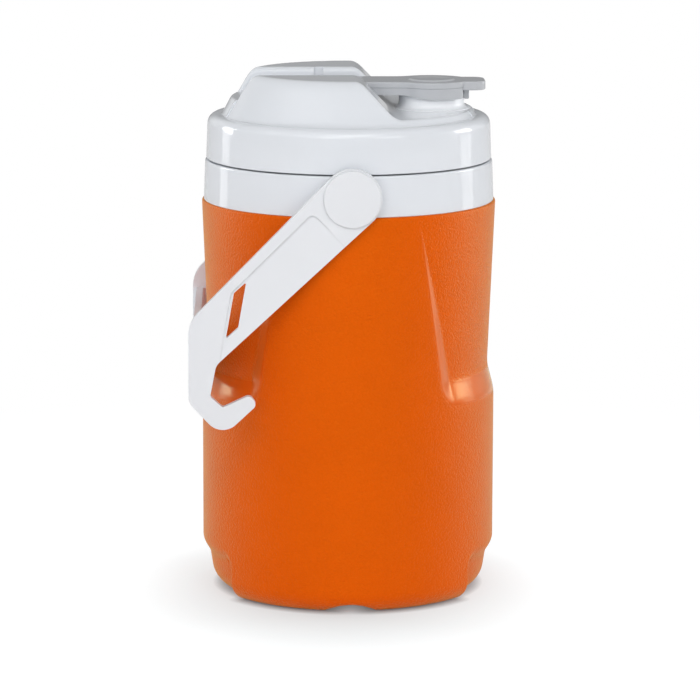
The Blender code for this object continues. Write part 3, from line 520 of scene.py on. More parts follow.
bodyShell = {
    "columns": 360, "wall": 2.5, "lipRound": 1.0, "innerCorner": 6.0, "innerFoot": 12.0,
    "panelTop": 197.0, "panelFoot": 114.8, "panelDepth": 3.45, "panelSoft": (0.26, 0.26), "ledgeFoot": 101.6,
    "creaseTop": 63.6, "creaseFoot": 52.9, "creaseRun": 2.5, "creaseLeast": 0.05,
    "polishFade": 8.0, "polishLead": 0.5, "polishEnd": 0.98, "polishDepth": 0.5,
    "footTop": 23.8, "footDrop": 5.6, "footDepth": 3.5, "footDraft": 0.16, "footHalf": 36.0, "footRun": 2.4,
    "footCorner": 7.5, "cornerLeast": 0.01, "footSoft": (0.40, 0.25), "footRound": 10.0, "footEase": 0.3,
    "softReach": 4.0, "recessRadius": 50.0, "recessDepth": 2.6, "recessEdge": 0.9, "recessRound": 0.8,
    "holeRadius": 9.3, "shapedFrom": 55.0, "notchHalf": 14.25, "notchHeight": 4.7,
    # rows of the wall as (from, to, count), and its columns as (spun angle, shift from the crease, fixed angle)
    "rowBands": ((197.0, 118.0, 27), (118.0, 99.0, 26), (99.0, 26.0, 12), (26.0, 16.0, 20), (16.0, 10.6, 4)),
    "crowdKnots": ((0.0, None, 0.0), (30.0, -9.0, None), (52.0, 3.0, None), (90.0, None, 90.0)),
}


def creaseAt(z):
    shell = bodyShell
    share = (z - shell["panelFoot"]) / (shell["panelTop"] - shell["panelFoot"])
    slanted = blendTo(shell["creaseFoot"], shell["creaseTop"], share)
    fall = clamp((z - shell["footTop"]) / (shell["ledgeFoot"] - shell["footTop"]))
    return blendTo(shell["footHalf"], slanted, fall)


def crowded(angle, z):
    crease = creaseAt(z)
    knots = [(start, crease + shift if fixed is None else fixed) for start, shift, fixed in bodyShell["crowdKnots"]]
    for (start, low), (end, high) in zip(knots, knots[1:]):
        if angle <= end:
            return blendTo(low, high, (angle - start) / (end - start))
    return angle


def cornerShare(side, rise):
    if side < 1 and rise < 1:  # inside the corner the two slopes meet in a round
        return 1 - math.hypot(1 - side, 1 - rise)
    return min(side, rise)


def wallDent(angle, z, radius):
    shell = bodyShell
    fall = clamp((shell["panelTop"] - z) / (shell["panelTop"] - shell["panelFoot"]))
    depth = shell["panelDepth"] * fall
    dent = polish = 0.0
    if depth > 0 and z > shell["ledgeFoot"] - shell["softReach"]:
        inward = math.radians(creaseAt(max(z, shell["ledgeFoot"])) - angle) * radius
        side = inward / max(shell["creaseRun"] * depth, shell["creaseLeast"])
        rise = (z - shell["ledgeFoot"]) / (shell["panelFoot"] - shell["ledgeFoot"])
        share = cornerShare(side, rise)
        dent = depth * softClamp(share, *shell["panelSoft"])
        fade = shell["polishFade"]
        polish = clamp(share * fade + shell["polishLead"]) * clamp((shell["polishEnd"] - share) * fade)
        polish *= clamp(depth / shell["polishDepth"])
    if z < shell["footTop"] + shell["softReach"]:
        side, drop = math.radians(shell["footHalf"] - angle) * radius, shell["footTop"] - z
        corner = shell["footCorner"]
        far, under = max(corner - side, 0.0), max(corner - drop, 0.0)
        run = blendTo(shell["footRun"], shell["footDrop"], under / max(far + under, shell["cornerLeast"]))
        share = min(side / run, drop / shell["footDrop"])
        if far and under:  # the recess has round upper corners
            share = (corner - math.hypot(far, under)) / run
        deep = shell["footDepth"] + shell["footDraft"] * max(shell["footTop"] - shell["footDrop"] - z, 0.0)
        dent += deep * softClamp(share, *shell["footSoft"])
    return dent, polish


def shapeWall(bm, radius, inner):
    polishLayer = bm.verts.layers.float.new("polish")
    for vert in bm.verts:
        spread = math.hypot(vert.co.x, vert.co.y)
        if spread < inner:
            continue
        turn = math.degrees(math.atan2(vert.co.y, vert.co.x))
        atBack = abs(turn) > 90
        angle = crowded(180 - abs(turn) if atBack else abs(turn), vert.co.z)
        dent, vert[polishLayer] = wallDent(angle, vert.co.z, radius)
        angle = math.radians(math.copysign(180 - angle if atBack else angle, turn))
        vert.co.x = (spread - dent) * math.cos(angle)
        vert.co.y = (spread - dent) * math.sin(angle)


def makeBodyShell():
    shell = bodyShell
    high = nodeBoxes["outer_shell"][1]
    radius = high.x
    inner = radius - shell["wall"]
    floor = shell["recessDepth"] + shell["wall"]
    path = roundPath([(inner, high.z, 0), (radius, high.z, shell["lipRound"]), (radius, shell["panelTop"], 0)], 5)
    for start, end, count in shell["rowBands"]:
        path += [Vector((radius, blendTo(start, end, row / count))) for row in range(1, count + 1)]
    ringOut, ringIn = shell["recessRadius"] + shell["recessEdge"], shell["recessRadius"] - shell["recessEdge"]
    path += roundPath([(radius, shell["footRound"] + shell["footEase"], 0), (radius, 0, shell["footRound"]),
                       (ringOut, 0, shell["recessRound"]), (ringIn, shell["recessDepth"], shell["recessRound"]),
                       (shell["holeRadius"], shell["recessDepth"], 0)], 10)[1:]
    path += roundPath([(shell["holeRadius"], floor, 0), (inner, floor, shell["innerCorner"]),
                       (inner, shell["innerFoot"], 0)], 5)
    for start, end, count in reversed(shell["rowBands"]):
        path += [Vector((inner, blendTo(end, start, row / count))) for row in range(1, count + 1) if row % 2 == 0]
    bm = spinPath(bmesh.new(), path, shell["columns"], closed=True)
    shapeWall(bm, radius, shell["shapedFrom"])
    half, height = shell["notchHalf"], shell["notchHeight"]
    ring = shell["recessRadius"] - shell["recessDepth"]
    arch = half ** 2 / (2 * height) + height / 2
    for vert in bm.verts:  # arched notches across the foot ring, below the handle pivots
        if abs(vert.co.x) < half and abs(vert.co.y) > ring:
            rise = blendTo(shell["recessDepth"], height, (abs(vert.co.y) - ring) / (radius - ring))
            vert.co.z = max(vert.co.z, rise - arch + math.sqrt(arch ** 2 - vert.co.x ** 2))
    return finishPiece(bm, "bodyShell", "jug", "bodyOrange", ["outer_shell"], sharpAngle=60)


makeBodyShell()


# fill plug in the base

fillPlug = {"headRound": 0.5, "shank": 9.0, "shankRound": 0.2, "endRound": 0.4, "dish": 0.5, "dishShare": 0.6,
            "dishRound": 0.4, "seatGap": 0.05, "columns": 72}


def makeFillPlug():
    plug = fillPlug
    low, high = nodeBoxes["fill_plug"]
    seat = bodyShell["recessDepth"] - plug["seatGap"]
    dishZ, dishEdge = low.z + plug["dish"], high.x * plug["dishShare"]
    path = roundPath([(0, dishZ, 0), (dishEdge, dishZ, plug["dishRound"]),
                      (dishEdge + plug["dish"], low.z, plug["dishRound"]), (high.x, low.z, plug["headRound"]),
                      (high.x, seat, 0), (plug["shank"], seat, plug["shankRound"]),
                      (plug["shank"], high.z, plug["endRound"]), (0, high.z, 0)], 4)
    bm = spinPath(bmesh.new(), path, plug["columns"])
    return finishPiece(bm, "fillPlug", "jug", "bodyOrange", ["fill_plug"])


makeFillPlug()


# screw threads: one section carried round the axis, run out at both ends

screwThread = {"pitch": 8.0, "halfRoot": 2.1, "halfCrest": 0.8, "sink": 0.4, "stepsPerTurn": 96, "runOut": 12}


def threadRidge(root, crest, startZ, turns):
    thread = screwThread
    bm = bmesh.new()
    ends = ((root, -thread["halfRoot"]), (crest, -thread["halfCrest"]), (crest, thread["halfCrest"]),
            (root, thread["halfRoot"]))
    face = bm.faces.new([bm.verts.new((across, 0, startZ + up)) for across, up in ends])
    steps = round(thread["stepsPerTurn"] * turns)
    bmesh.ops.spin(bm, geom=[face, *face.verts, *face.edges], cent=(0, 0, 0), axis=(0, 0, 1),
                   angle=2 * math.pi * turns, steps=steps, dvec=(0, 0, thread["pitch"] * turns / steps))
    bm.verts.index_update()
    for vert in bm.verts:
        step = vert.index // len(ends)
        share = clamp(min(step, steps - step) / thread["runOut"])
        spread = math.hypot(vert.co.x, vert.co.y)
        kept = blendTo(root, spread, math.sin(share * math.pi / 2)) / spread
        vert.co.x *= kept
        vert.co.y *= kept
    bmesh.ops.recalc_face_normals(bm, faces=bm.faces)
    return bm


def addSolid(bm, other):
    mesh = bpy.data.meshes.new("added")
    other.to_mesh(mesh)
    other.free()
    bm.from_mesh(mesh)
    bpy.data.meshes.remove(mesh)


# inner bottle with its neck and thread

innerBottle = {"outer": 58.2, "wall": 2.0, "corner": 9.0, "neckOuter": 65.49, "neckWall": 3.1, "neckRound": 0.6,
               "lipRound": 0.9, "flangeTop": 216.0, "flangeFoot": 213.0, "flangeRound": 0.3, "flareFoot": 198.0,
               "flareRound": 6.0, "flareStep": 1.0, "threadCrest": 67.6, "threadStart": 222.2, "threadTurns": 1.2,
               "columns": 240}


def makeInnerBottle():
    bottle = innerBottle
    low, high = nodeBoxes["liner"]
    inner = bottle["outer"] - bottle["wall"]
    neckInner = bottle["neckOuter"] - bottle["neckWall"]
    flare, flange = bottle["flareRound"], bottle["flangeRound"]
    path = roundPath([
        (0, low.z, 0), (bottle["outer"], low.z, bottle["corner"]), (bottle["outer"], bottle["flareFoot"], flare),
        (bottle["neckOuter"] - bottle["flareStep"], bottle["flangeFoot"], bottle["flareStep"]),
        (high.x, bottle["flangeFoot"], flange), (high.x, bottle["flangeTop"], flange),
        (bottle["neckOuter"], bottle["flangeTop"], bottle["neckRound"]),
        (bottle["neckOuter"], high.z, bottle["lipRound"]), (neckInner, high.z, bottle["lipRound"]),
        (neckInner, bottle["flangeFoot"], flare), (inner, bottle["flareFoot"], flare),
        (inner, low.z + bottle["wall"], bottle["corner"] - bottle["wall"]), (0, low.z + bottle["wall"], 0)], 5)
    bm = spinPath(bmesh.new(), path, bottle["columns"])
    root = bottle["neckOuter"] - screwThread["sink"]
    ridge = threadRidge(root, bottle["threadCrest"], bottle["threadStart"], bottle["threadTurns"])
    addSolid(bm, ridge)
    return finishPiece(bm, "innerBottle", "jug", "linerWhite", ["liner"])


makeInnerBottle()


# collar with the two bosses that carry the handle

collarRing = {
    "topRound": 1.0, "footRound": 0.25, "wall": 3.5, "innerRound": 1.0, "lowRadius": 73.3, "topRadius": 72.53,
    "bore": 65.8, "boreRound": 0.5, "boreFootRound": 0.3, "topPlate": 3.0, "ceilingRound": 0.6, "seatGap": 0.05,
    "spigotRadius": 71.4, "spigotWall": 2.2, "spigotRound": 0.4, "spigotRootRound": 0.2,
    "bossRadius": 9.5, "bossSink": 0.4, "bossRound": 0.3, "pinHole": 5.0, "holeOver": 2.0, "holeRound": 0.1,
    "holeColumns": 48, "columns": 240,
}


def acrossY(bm, side):
    bmesh.ops.rotate(bm, cent=(0, 0, 0), verts=bm.verts,
                     matrix=Matrix.Rotation(math.radians(-90 * side), 3, "X"))
    return bm


def sideDisc(radius, start, end, z, side, edgeRound, columns=96):
    path = roundPath([(0, start, 0), (radius, start, 0), (radius, end, edgeRound), (0, end, 0)], 4)
    bm = acrossY(spinPath(bmesh.new(), path, columns), side)
    bmesh.ops.translate(bm, vec=(0, 0, z), verts=bm.verts)
    return bm


def makeCollar():
    ring = collarRing
    low, high = nodeBoxes["collar"]
    pinLow, pinHigh = nodeBoxes["pivot_pin_left"]
    pivotZ = (pinLow.z + pinHigh.z) / 2
    seat = nodeBoxes["outer_shell"][1].z + ring["seatGap"]
    inner = ring["topRadius"] - ring["wall"]
    spigotInner = ring["spigotRadius"] - ring["spigotWall"]
    ceiling = high.z - ring["topPlate"]
    path = roundPath([
        (ring["bore"], high.z, ring["boreRound"]), (ring["topRadius"], high.z, ring["topRound"]),
        (ring["lowRadius"], seat, ring["footRound"]), (ring["spigotRadius"], seat, ring["spigotRootRound"]),
        (ring["spigotRadius"], low.z, ring["spigotRound"]), (spigotInner, low.z, ring["spigotRound"]),
        (inner, seat, ring["innerRound"]), (inner, ceiling, ring["ceilingRound"]),
        (ring["bore"], ceiling, ring["boreFootRound"])], 5, closed=True)
    bm = spinPath(bmesh.new(), path, ring["columns"], closed=True)
    near, far = inner - ring["holeOver"], high.y + ring["holeOver"]
    bosses = [sideDisc(ring["bossRadius"], inner + ring["bossSink"], high.y, pivotZ, side, ring["bossRound"])
              for side in (1, -1)]
    holes = [sideDisc(ring["pinHole"], near, far, pivotZ, side, ring["holeRound"], ring["holeColumns"])
             for side in (1, -1)]
    bm = combine(combine(bm, "UNION", *bosses), "DIFFERENCE", *holes)
    return finishPiece(bm, "collarRing", "jug", "lidWhite", ["collar"], evenFaces=True)


makeCollar()


# pivot pins with their broad flat heads

pivotPin = {"headThickness": 1.4, "backRound": 0.15, "rimRound": 0.55, "dish": 0.12, "dishShare": 0.5,
            "shank": 4.7, "shankRound": 0.2, "tipRound": 0.5, "columns": 144}


def makePivotPin(name):
    pin = pivotPin
    low, high = nodeBoxes[name]
    side = 1 if low.y > 0 else -1
    near = min(abs(low.y), abs(high.y))
    far = max(abs(low.y), abs(high.y))
    radius = high.x
    under = far - pin["headThickness"]
    middle = pin["dishShare"]
    path = roundPath([(0, near, 0), (pin["shank"], near, pin["tipRound"]), (pin["shank"], under, pin["shankRound"]),
                      (radius, under, pin["backRound"]), (radius, far, pin["rimRound"]),
                      (radius * middle, far - pin["dish"] * middle, 0), (0, far - pin["dish"], 0)], 5)
    bm = acrossY(spinPath(bmesh.new(), path, pin["columns"]), side)
    bmesh.ops.translate(bm, vec=(0, 0, (low.z + high.z) / 2), verts=bm.verts)
    return finishPiece(bm, name.replace("pivot_pin_", "pivotPin."), "jug", "handleWhite", [name])


for pinName in ("pivot_pin_left", "pivot_pin_right"):
    makePivotPin(pinName)


# bail handle: two flat arms with hooks, slots and sunk panels, and the grip between them

bailHandle = {  # corners are (forward, up, radius) from the pivot
    "thickness": 4.5, "endRadius": 14.75, "endSteps": 40, "upperAngle": 45.5, "lowerAngle": 43.3, "rimRound": 0.75,
    "softSteps": 4, "softAngle": 50, "cutOver": 2.0,
    "elbow": (-80.2, -60.93, 16.0),
    "hook": ((-80.2, -100.63, 7.5), (-63.8, -117.93, 9.3), (-46.5, -101.73, 2.8), (-49.9, -96.73, 2.8),
             (-63.4, -103.03, 1.6), (-69.6, -97.43, 2.0), (-66.6, -82.0, 7.0)),
    "slot": ((-51.7, -40.73, 0.45), (-55.8, -63.53, 1.2), (-61.9, -69.03, 0.45), (-57.8, -46.23, 1.2)),
    "panel": ((-19.3, -6.4, 3.4), (-59.3, -45.9, 3.0), (-66.5, -85.0, 0.0), (9.0, -34.7, 0.0)),
    "panelDepth": 1.6, "panelWidth": 25.5, "panelFillet": 1.45, "panelRise": 6.0, "filletReach": (2.5, 4.0),
    "gripX": (-78.3, -74.75), "gripZ": (-98.0, -68.0), "gripFlare": 4.2, "flareEase": 0.3, "gripGap": 0.2,
    "gripRound": 1.5,
}


def armOutline():
    bail = bailHandle
    start = math.radians(bail["lowerAngle"] - 90)
    sweep = math.radians(bail["upperAngle"] + 90) - start
    turns = [start + sweep * step / bail["endSteps"] for step in range(bail["endSteps"] + 1)]
    end = [Vector((math.cos(turn), math.sin(turn))) * bail["endRadius"] for turn in turns]
    corners = [(*end[-1], 0), bail["elbow"], *bail["hook"], (*end[0], 0)]
    return roundPath(corners, 10) + end[1:-1]


def makeArm(side, pivotZ, inner, outer):
    bail = bailHandle

    def flat(y):
        return lambda point: (point[0], side * y, point[1] + pivotZ)

    arm = prism(armOutline(), flat(inner), (0, side * (outer - inner), 0))
    slotPath = roundPath(bail["slot"], 5, closed=True)
    over = bail["cutOver"]
    slot = prism(slotPath, flat(inner - over), (0, side * (outer - inner + 2 * over), 0))
    arm = combine(arm, "DIFFERENCE", slot)
    soften(arm, bail["rimRound"], bail["softSteps"], bail["softAngle"])
    first = Vector(bail["panel"][0][:2])
    down = Vector((math.sin(math.radians(bail["upperAngle"])), -math.cos(math.radians(bail["upperAngle"]))))

    def sunk(point):
        fade = 1 - (Vector(point) - first).dot(down) / bail["panelWidth"]
        return (point[0], side * (outer - bail["panelDepth"] * fade), point[1] + pivotZ)

    cutter = prism(roundPath(bail["panel"], 8, closed=True), sunk, (0, side * bail["panelRise"], 0))
    deepest = min(abs(vert.co.y) for vert in cutter.verts)
    limit = min(outer + bail["filletReach"][0], deepest + bail["filletReach"][1])
    soften(cutter, bail["panelFillet"], bail["softSteps"], bail["softAngle"],
           lambda edge: all(abs(vert.co.y) < limit for vert in edge.verts))
    return combine(arm, "DIFFERENCE", cutter)


def makeHandle():
    bail = bailHandle
    high = nodeBoxes["handle"][1]
    pivotZ = high.z - bail["endRadius"]
    outer = high.y
    inner = outer - bail["thickness"]
    middle = (inner + outer) / 2
    back, front = bail["gripX"]
    flare = bail["gripFlare"]
    reach, bend = inner - bail["gripGap"], flare - bail["flareEase"]
    plan = roundPath([(back, -middle, 0), (back, middle, 0), (front + flare, middle, 0), (front + flare, reach, 0),
                      (front, reach, bend), (front, -reach, bend), (front + flare, -reach, 0),
                      (front + flare, -middle, 0)], 8, closed=True)
    gripLow, gripHigh = bail["gripZ"]
    grip = prism(plan, lambda point: (point[0], point[1], pivotZ + gripLow), (0, 0, gripHigh - gripLow))
    soften(grip, bail["gripRound"], bail["softSteps"], bail["softAngle"],
           lambda edge: all(abs(vert.co.y) < inner for vert in edge.verts))
    arms = [makeArm(side, pivotZ, inner, outer) for side in (1, -1)]
    bm = combine(grip, "UNION", *arms)
    return finishPiece(bm, "bailHandle", "handle", "handleWhite", ["handle"], 45, evenFaces=True)


makeHandle()


# screw lid: a gridded crown lofted over the platform, the two lobes and the channel, on a spun skirt

screwLid = {
    "rimRadius": 65.2, "topZ": 242.0, "platformRise": 3.0, "coneFoot": 64.0, "coneRun": 0.53, "frontFoot": 4.6,
    "frontRun": 0.94, "channelDepth": 12.6, "channelHalf": 17.8, "lobeRound": 2.4, "channelFillet": 1.8,
    "crownSoft": 6.0, "edgeSoft": 1.3, "frontSoft": 3.2, "platformSoft": 4.0, "rimSoft": 1.2,
    "wallShare": 0.84, "roundShare": 0.06, "wallLeast": 0.1,  # where the lobes run out to the lid's front and back
    "lowRadius": 72.03, "highRadius": 71.19, "shoulder": 4.6, "wall": 2.5, "edgeRound": 0.6,
    "skirtEase": 0.6, "skirtRound": 0.4, "ceilingRound": 2.0,
    "rows": 180, "channelRows": 9, "wallRows": 12, "lobeRows": 32,
    "threadStart": 224.4, "threadTurns": 1.3, "threadCrest": 66.1,
    "seatX": -15.02, "seatHalf": 2.35, "seatDepth": 2.4, "seatFoot": 253.6, "seatRound": 2.3, "seatOver": 3.0,
    "spoutX": 41.69, "spoutHole": 15.0, "holeOver": 5.0, "holeColumns": 96,
}


def lidHeight(x, y, top):
    lid = screwLid
    platform = lid["topZ"] + lid["platformRise"]
    crown = nodeBoxes["lid_shell"][1].z
    front = crown - (x - lid["frontFoot"]) / lid["frontRun"]
    inner = smoothMax(smoothMin(top, front, lid["frontSoft"]), platform, lid["platformSoft"])
    cone = lid["topZ"] + (lid["coneFoot"] - math.hypot(x, y)) / lid["coneRun"]
    soft = blendTo(lid["edgeSoft"], lid["crownSoft"], ((inner - platform) / (crown - platform)) ** 3)
    return smoothMax(smoothMin(inner, cone, soft), lid["topZ"], lid["rimSoft"])


def crownSection(x, reach):
    lid = screwLid  # half of one cross-section, from the middle out, as (y, z)
    crown = nodeBoxes["lid_shell"][1].z
    floor = crown - lid["channelDepth"]
    wall = min(lid["channelHalf"], lid["wallShare"] * reach)
    lobeRound = min(lid["lobeRound"], lid["roundShare"] * reach)
    fillet = min(lid["channelFillet"], lid["roundShare"] * reach)
    inside, outside = wall - fillet, wall + lobeRound
    flat = [inside * row / lid["channelRows"] for row in range(lid["channelRows"])]
    points = [(y, lidHeight(x, y, floor)) for y in flat]
    foot, head = lidHeight(x, inside, floor), lidHeight(x, outside, crown)
    tall = clamp((head - foot) / (lobeRound + fillet + lid["wallLeast"]))
    half = lid["wallRows"] // 2
    turns = [math.pi / 2 * row / half for row in range(half + 1)]
    points += [(inside + fillet * math.sin(turn), foot + fillet * tall * (1 - math.cos(turn))) for turn in turns]
    points += [(outside - lobeRound * math.cos(turn), head - lobeRound * tall * (1 - math.sin(turn)))
               for turn in turns]
    for row in range(1, lid["lobeRows"] + 1):
        y = blendTo(outside, reach, row / lid["lobeRows"])
        points.append((y, lidHeight(x, y, crown)))
    return points


def makeCrown():
    lid = screwLid
    sections = []
    for row in range(lid["rows"] + 1):
        turn = math.pi * (row / lid["rows"] - 0.5)
        x = lid["rimRadius"] * math.sin(turn)
        reach = max(lid["rimRadius"] * math.cos(turn), 0.0)
        section = crownSection(x, reach)
        section[-1] = (reach, lid["topZ"])
        sections.append((x, section))
    count = len(sections[0][1]) - 1
    bm = bmesh.new()
    bmesh.ops.create_grid(bm, x_segments=lid["rows"], y_segments=count * 2, size=1.0)
    for vert in bm.verts:  # each grid point goes to its own place on its cross-section
        row = round((vert.co.x + 1) / 2 * lid["rows"])
        column = round(vert.co.y * count)
        x, section = sections[row]
        y, z = section[abs(column)]
        vert.co = (x, math.copysign(y, column), z)
    return bm


def makeLid():
    lid = screwLid
    low, high = nodeBoxes["lid_shell"]
    bm = makeCrown()
    inner = lid["highRadius"] - lid["wall"]
    ceiling = lid["topZ"] - lid["wall"]
    path = roundPath([(lid["rimRadius"], lid["topZ"], 0), (lid["highRadius"], lid["topZ"], lid["shoulder"]),
                      (lid["lowRadius"], low.z, lid["edgeRound"]),
                      (inner + lid["skirtEase"], low.z, lid["skirtRound"]), (inner, ceiling, lid["ceilingRound"]),
                      (0, ceiling, 0)], 8)
    spinPath(bm, path, lid["rows"] * 2)
    back, front = lid["seatX"] - lid["seatHalf"], lid["seatX"] + lid["seatHalf"]
    above = high.z + lid["seatOver"]
    seat = roundPath([(back, above, 0), (back, lid["seatFoot"], lid["seatRound"]),
                      (front, lid["seatFoot"], lid["seatRound"]), (front, above, 0)], 6)
    deep = lid["channelHalf"] + lid["seatDepth"]
    seats = prism(seat, lambda point: (point[0], -deep, point[1]), (0, 2 * deep, 0))
    below = ceiling - lid["holeOver"]
    holePath = [(0, below), (lid["spoutHole"], below), (lid["spoutHole"], high.z), (0, high.z)]
    hole = spinPath(bmesh.new(), holePath, lid["holeColumns"], centreX=lid["spoutX"])
    bm = combine(bm, "DIFFERENCE", seats, hole)
    root = inner + screwThread["sink"]
    addSolid(bm, threadRidge(root, lid["threadCrest"], lid["threadStart"], lid["threadTurns"]))
    return finishPiece(bm, "screwLid", "lid", "lidWhite", ["lid_shell", "lid_foam"], sharpAngle=50)


makeLid()


# pour spout with a flared foot

pourSpout = {"radius": 16.5, "wall": 3.0, "lipRound": 1.3, "footFlare": 2.6, "footReach": 3.4, "footRise": 0.25,
             "footSink": 0.6, "footRound": 0.1, "shankStep": 1.5, "shankRound": 0.4, "columns": 144}


def makeSpout():
    spout = pourSpout
    low, high = nodeBoxes["pour_spout"]
    centre = screwLid["spoutX"]
    platform = screwLid["topZ"] + screwLid["platformRise"]
    radius = spout["radius"]
    bore, shank, foot = radius - spout["wall"], radius - spout["shankStep"], radius + spout["footReach"]
    rise, sink = platform + spout["footRise"], platform - spout["footSink"]
    path = roundPath([(bore, low.z, spout["shankRound"]), (bore, high.z, spout["lipRound"]),
                      (radius, high.z, spout["lipRound"]), (radius, rise, spout["footFlare"]),
                      (foot, rise, spout["footRound"]), (foot, sink, 0), (shank, sink, 0),
                      (shank, low.z, spout["shankRound"])], 6, closed=True)
    bm = spinPath(bmesh.new(), path, spout["columns"], closed=True, centreX=centre)
    return finishPiece(bm, "pourSpout", "lid", "spoutWhitePaintedLight", ["pour_spout"])


makeSpout()


# flip cap: lever arm, round cap with skirt, thumb tab and catch rib

flipCap = {
    "hinge": (-15.02, 256.0), "centre": 41.69, "plateZ": (256.0, 259.2), "lap": 1.0, "radius": 19.6,
    "armHalf": 14.0, "armBack": 1.7, "armFoot": 252.6, "armSteps": 24, "waistRound": 14.0, "roundSteps": 30,
    "waistSteps": 10, "topRound": 0.7, "softSteps": 4, "softAngle": 50,
    "tabHalf": 11.5, "tabEnd": 68.6, "tabRound": 6.0, "tabFoot": 254.7, "tabLap": 1.5, "tabRoot": 2.0,
    "inset": 0.45, "sideWall": 2.2, "skirtFoot": 250.6, "footRise": (24.0, 42.0), "skirtFront": 58.4,
    "frontLift": (55.6, 1.2),
    "pad": ((0.6, 0.0, 0.2), (-0.3, 0.6, 0.4), (-1.6, 0.6, 0.8)),  # out from its radius, above the plate, round
    "padRadius": 11.4, "padDish": (0.5, 0.25, 6.0), "padColumns": 96,
    "catchX": (57.8, 60.4), "catchHalf": 4.5, "catchFoot": 249.7, "catchRound": 0.7,
    "barrel": 3.4, "barrelHalf": 17.2, "barrelRound": 0.5, "barrelColumns": 64,
    "pin": 2.3, "pinOver": 4.0, "pinRound": 0.1, "pinColumns": 48,
}


def capOutline(inset=0.0):
    cap = flipCap  # half of the outline, from the tab round the cap and through the waist to the arm
    radius, arm, bend = cap["radius"] - inset, cap["armHalf"] - inset, cap["waistRound"] + inset
    bendY = arm + bend
    bendBack = math.sqrt((radius + bend) ** 2 - bendY ** 2)
    spread, waist = math.asin(cap["tabHalf"] / radius), math.atan2(bendY, -bendBack)
    count = cap["roundSteps"]
    turns = [blendTo(spread, waist, step / count) for step in range(count + 1)]
    half = [Vector((cap["centre"] + radius * math.cos(turn), radius * math.sin(turn))) for turn in turns]
    count = cap["waistSteps"]
    turns = [blendTo(waist - math.pi, -math.pi / 2, step / count) for step in range(1, count + 1)]
    bendX = cap["centre"] - bendBack
    half += [Vector((bendX + bend * math.cos(turn), bendY + bend * math.sin(turn))) for turn in turns]
    return half


def makeFlipCap():
    cap = flipCap
    low, high = cap["plateZ"]
    back = cap["hinge"][0] - cap["armBack"]
    half = capOutline()
    tabEnd, tab, bend, root = cap["tabEnd"], cap["tabHalf"], cap["tabRound"], half[0].x
    front = roundPath([(root, -tab, 0), (tabEnd, -tab, bend), (tabEnd, tab, bend), (root, tab, 0)], 8)[1:-1]
    outline = half + [Vector((back, cap["armHalf"])), Vector((back, -cap["armHalf"]))]
    outline += [Vector((point.x, -point.y)) for point in reversed(half)] + front
    plate = prism(outline, lambda point: (point[0], point[1], low), (0, 0, high - low))
    soften(plate, cap["topRound"], cap["softSteps"], cap["softAngle"],
           lambda edge: abs(edge.verts[0].co.z - edge.verts[1].co.z) < mergeGap)
    tabBase = front + [Vector((root - cap["tabRoot"], tab)), Vector((root - cap["tabRoot"], -tab))]
    tabBlock = prism(tabBase, lambda point: (point[0], point[1], cap["tabFoot"]),
                     (0, 0, low + cap["tabLap"] - cap["tabFoot"]))
    soften(tabBlock, cap["topRound"], cap["softSteps"], cap["softAngle"],
           lambda edge: all(vert.co.z < low for vert in edge.verts))
    sides = [makeCapSide(side) for side in (1, -1)]
    barrel = hingeRod(cap["barrel"], cap["barrelHalf"], cap["barrelRound"], cap["barrelColumns"])
    bore = hingeRod(cap["pin"], cap["barrelHalf"] + cap["pinOver"], cap["pinRound"], cap["pinColumns"])
    bm = combine(plate, "UNION", tabBlock, *sides, makeCapPad(), makeCatchRib(), barrel)
    bm = combine(bm, "DIFFERENCE", bore)
    return finishPiece(bm, "flipCap", "spout_cap", "capGrey", ["spout_cap"], 45, evenFaces=True)


def makeCapPad():
    cap = flipCap
    low, high = cap["plateZ"][0] + cap["lap"], cap["plateZ"][1]
    rim = [(cap["padRadius"] + out, high + rise, bend) for out, rise, bend in cap["pad"]]
    dishShare, dishRise, dishRound = cap["padDish"]
    path = [(0, low, 0), (rim[0][0], low, 0), *rim, (cap["padRadius"] * dishShare, high + dishRise, dishRound),
            (0, high + dishRise, 0)]
    return spinPath(bmesh.new(), roundPath(path, 5), cap["padColumns"], centreX=cap["centre"])


def makeCatchRib():
    cap = flipCap
    top, foot, bend, half = cap["plateZ"][0] + cap["lap"], cap["catchFoot"], cap["catchRound"], cap["catchHalf"]
    back, front = cap["catchX"]
    path = roundPath([(back, top, 0), (back, foot, bend), (front, foot, bend), (front, top, 0)], 4, closed=True)
    return prism(path, lambda point: (point[0], -half, point[1]), (0, 2 * half, 0))


def hingeRod(radius, half, edgeRound, columns):
    path = roundPath([(0, -half, 0), (radius, -half, edgeRound), (radius, half, edgeRound), (0, half, 0)], 4)
    bm = acrossY(spinPath(bmesh.new(), path, columns), 1)
    x, z = flipCap["hinge"]
    bmesh.ops.translate(bm, vec=(x, 0, z), verts=bm.verts)
    return bm


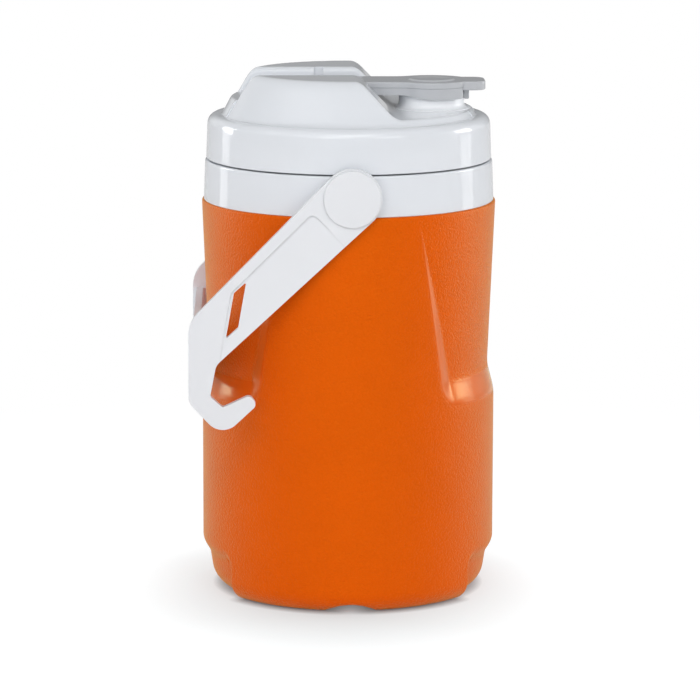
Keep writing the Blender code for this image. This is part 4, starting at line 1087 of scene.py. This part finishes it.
def makeCapSide(side):
    cap = flipCap  # a wall that follows the arm and the round cap, drawn down to a foot that drops under the cap
    path = [point for point in capOutline(cap["inset"]) if point.x < cap["skirtFront"]]
    arm = cap["armHalf"] - cap["inset"]
    steps = cap["armSteps"]
    start = path[-1].x
    path += [Vector((blendTo(start, cap["hinge"][0], step / steps), arm)) for step in range(1, steps + 1)]
    bm = bmesh.new()
    top = cap["plateZ"][0] + cap["lap"]
    verts = [bm.verts.new((point.x, side * point.y, top)) for point in path]
    edges = [bm.edges.new(pair) for pair in zip(verts, verts[1:])]
    made = bmesh.ops.extrude_edge_only(bm, edges=edges)["geom"]
    for vert in [part for part in made if isinstance(part, bmesh.types.BMVert)]:
        share = clamp((vert.co.x - cap["footRise"][0]) / (cap["footRise"][1] - cap["footRise"][0]))
        lift = clamp((vert.co.x - cap["frontLift"][0]) / (cap["skirtFront"] - cap["frontLift"][0]))
        foot = blendTo(cap["armFoot"], cap["skirtFoot"], share * share * (3 - 2 * share))
        vert.co.z = foot + cap["frontLift"][1] * lift * lift
    bmesh.ops.recalc_face_normals(bm, faces=bm.faces)
    outward = sum((face.normal.y * side for face in bm.faces if face.calc_center_median().x < start), 0.0)
    bmesh.ops.solidify(bm, geom=bm.faces[:], thickness=cap["sideWall"] if outward > 0 else -cap["sideWall"])
    bmesh.ops.recalc_face_normals(bm, faces=bm.faces)
    return bm


makeFlipCap()


# hinge pin and soft seal under the cap

hingePin = {"endRound": 0.5, "columns": 48}


def makeHingePin():
    low, high = nodeBoxes["cap_hinge_pin"]
    bm = hingeRod((high.z - low.z) / 2, high.y, hingePin["endRound"], hingePin["columns"])
    return finishPiece(bm, "capHingePin", "spout_cap", "capGrey", ["cap_hinge_pin"])


spoutSeal = {"flange": 15.5, "flangeThickness": 1.7, "flangeRound": 0.5, "plugTop": 13.2, "plugLow": 12.6,
             "rootRound": 0.3, "plugRound": 0.8, "dish": 9.6, "dishTaper": 0.4, "dishRound": 1.0, "columns": 96}


def makeSeal():
    seal = spoutSeal
    low, high = nodeBoxes["spout_seal"]
    under = high.z - seal["flangeThickness"]
    path = roundPath([(0, high.z, 0), (seal["flange"], high.z, seal["flangeRound"]),
                      (seal["flange"], under, seal["flangeRound"]), (seal["plugTop"], under, seal["rootRound"]),
                      (seal["plugLow"], low.z, seal["plugRound"]), (seal["dish"], low.z, seal["plugRound"]),
                      (seal["dish"] - seal["dishTaper"], under, seal["dishRound"]), (0, under, 0)], 5)
    bm = spinPath(bmesh.new(), path, seal["columns"], centreX=flipCap["centre"])
    return finishPiece(bm, "spoutSeal", "spout_cap", "sealGrey", ["spout_seal"])


makeHingePin()
makeSeal()

# solids whose shape is right keep it and take their finish
for nodeName, finish in {"foam_core": "foamCream", "lid_plate": "linerWhite", "lid_gasket": "sealGrey"}.items():
    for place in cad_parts[nodeName].material_slots:
        place.material = finishes[finish]
print("carried-over solids finished")
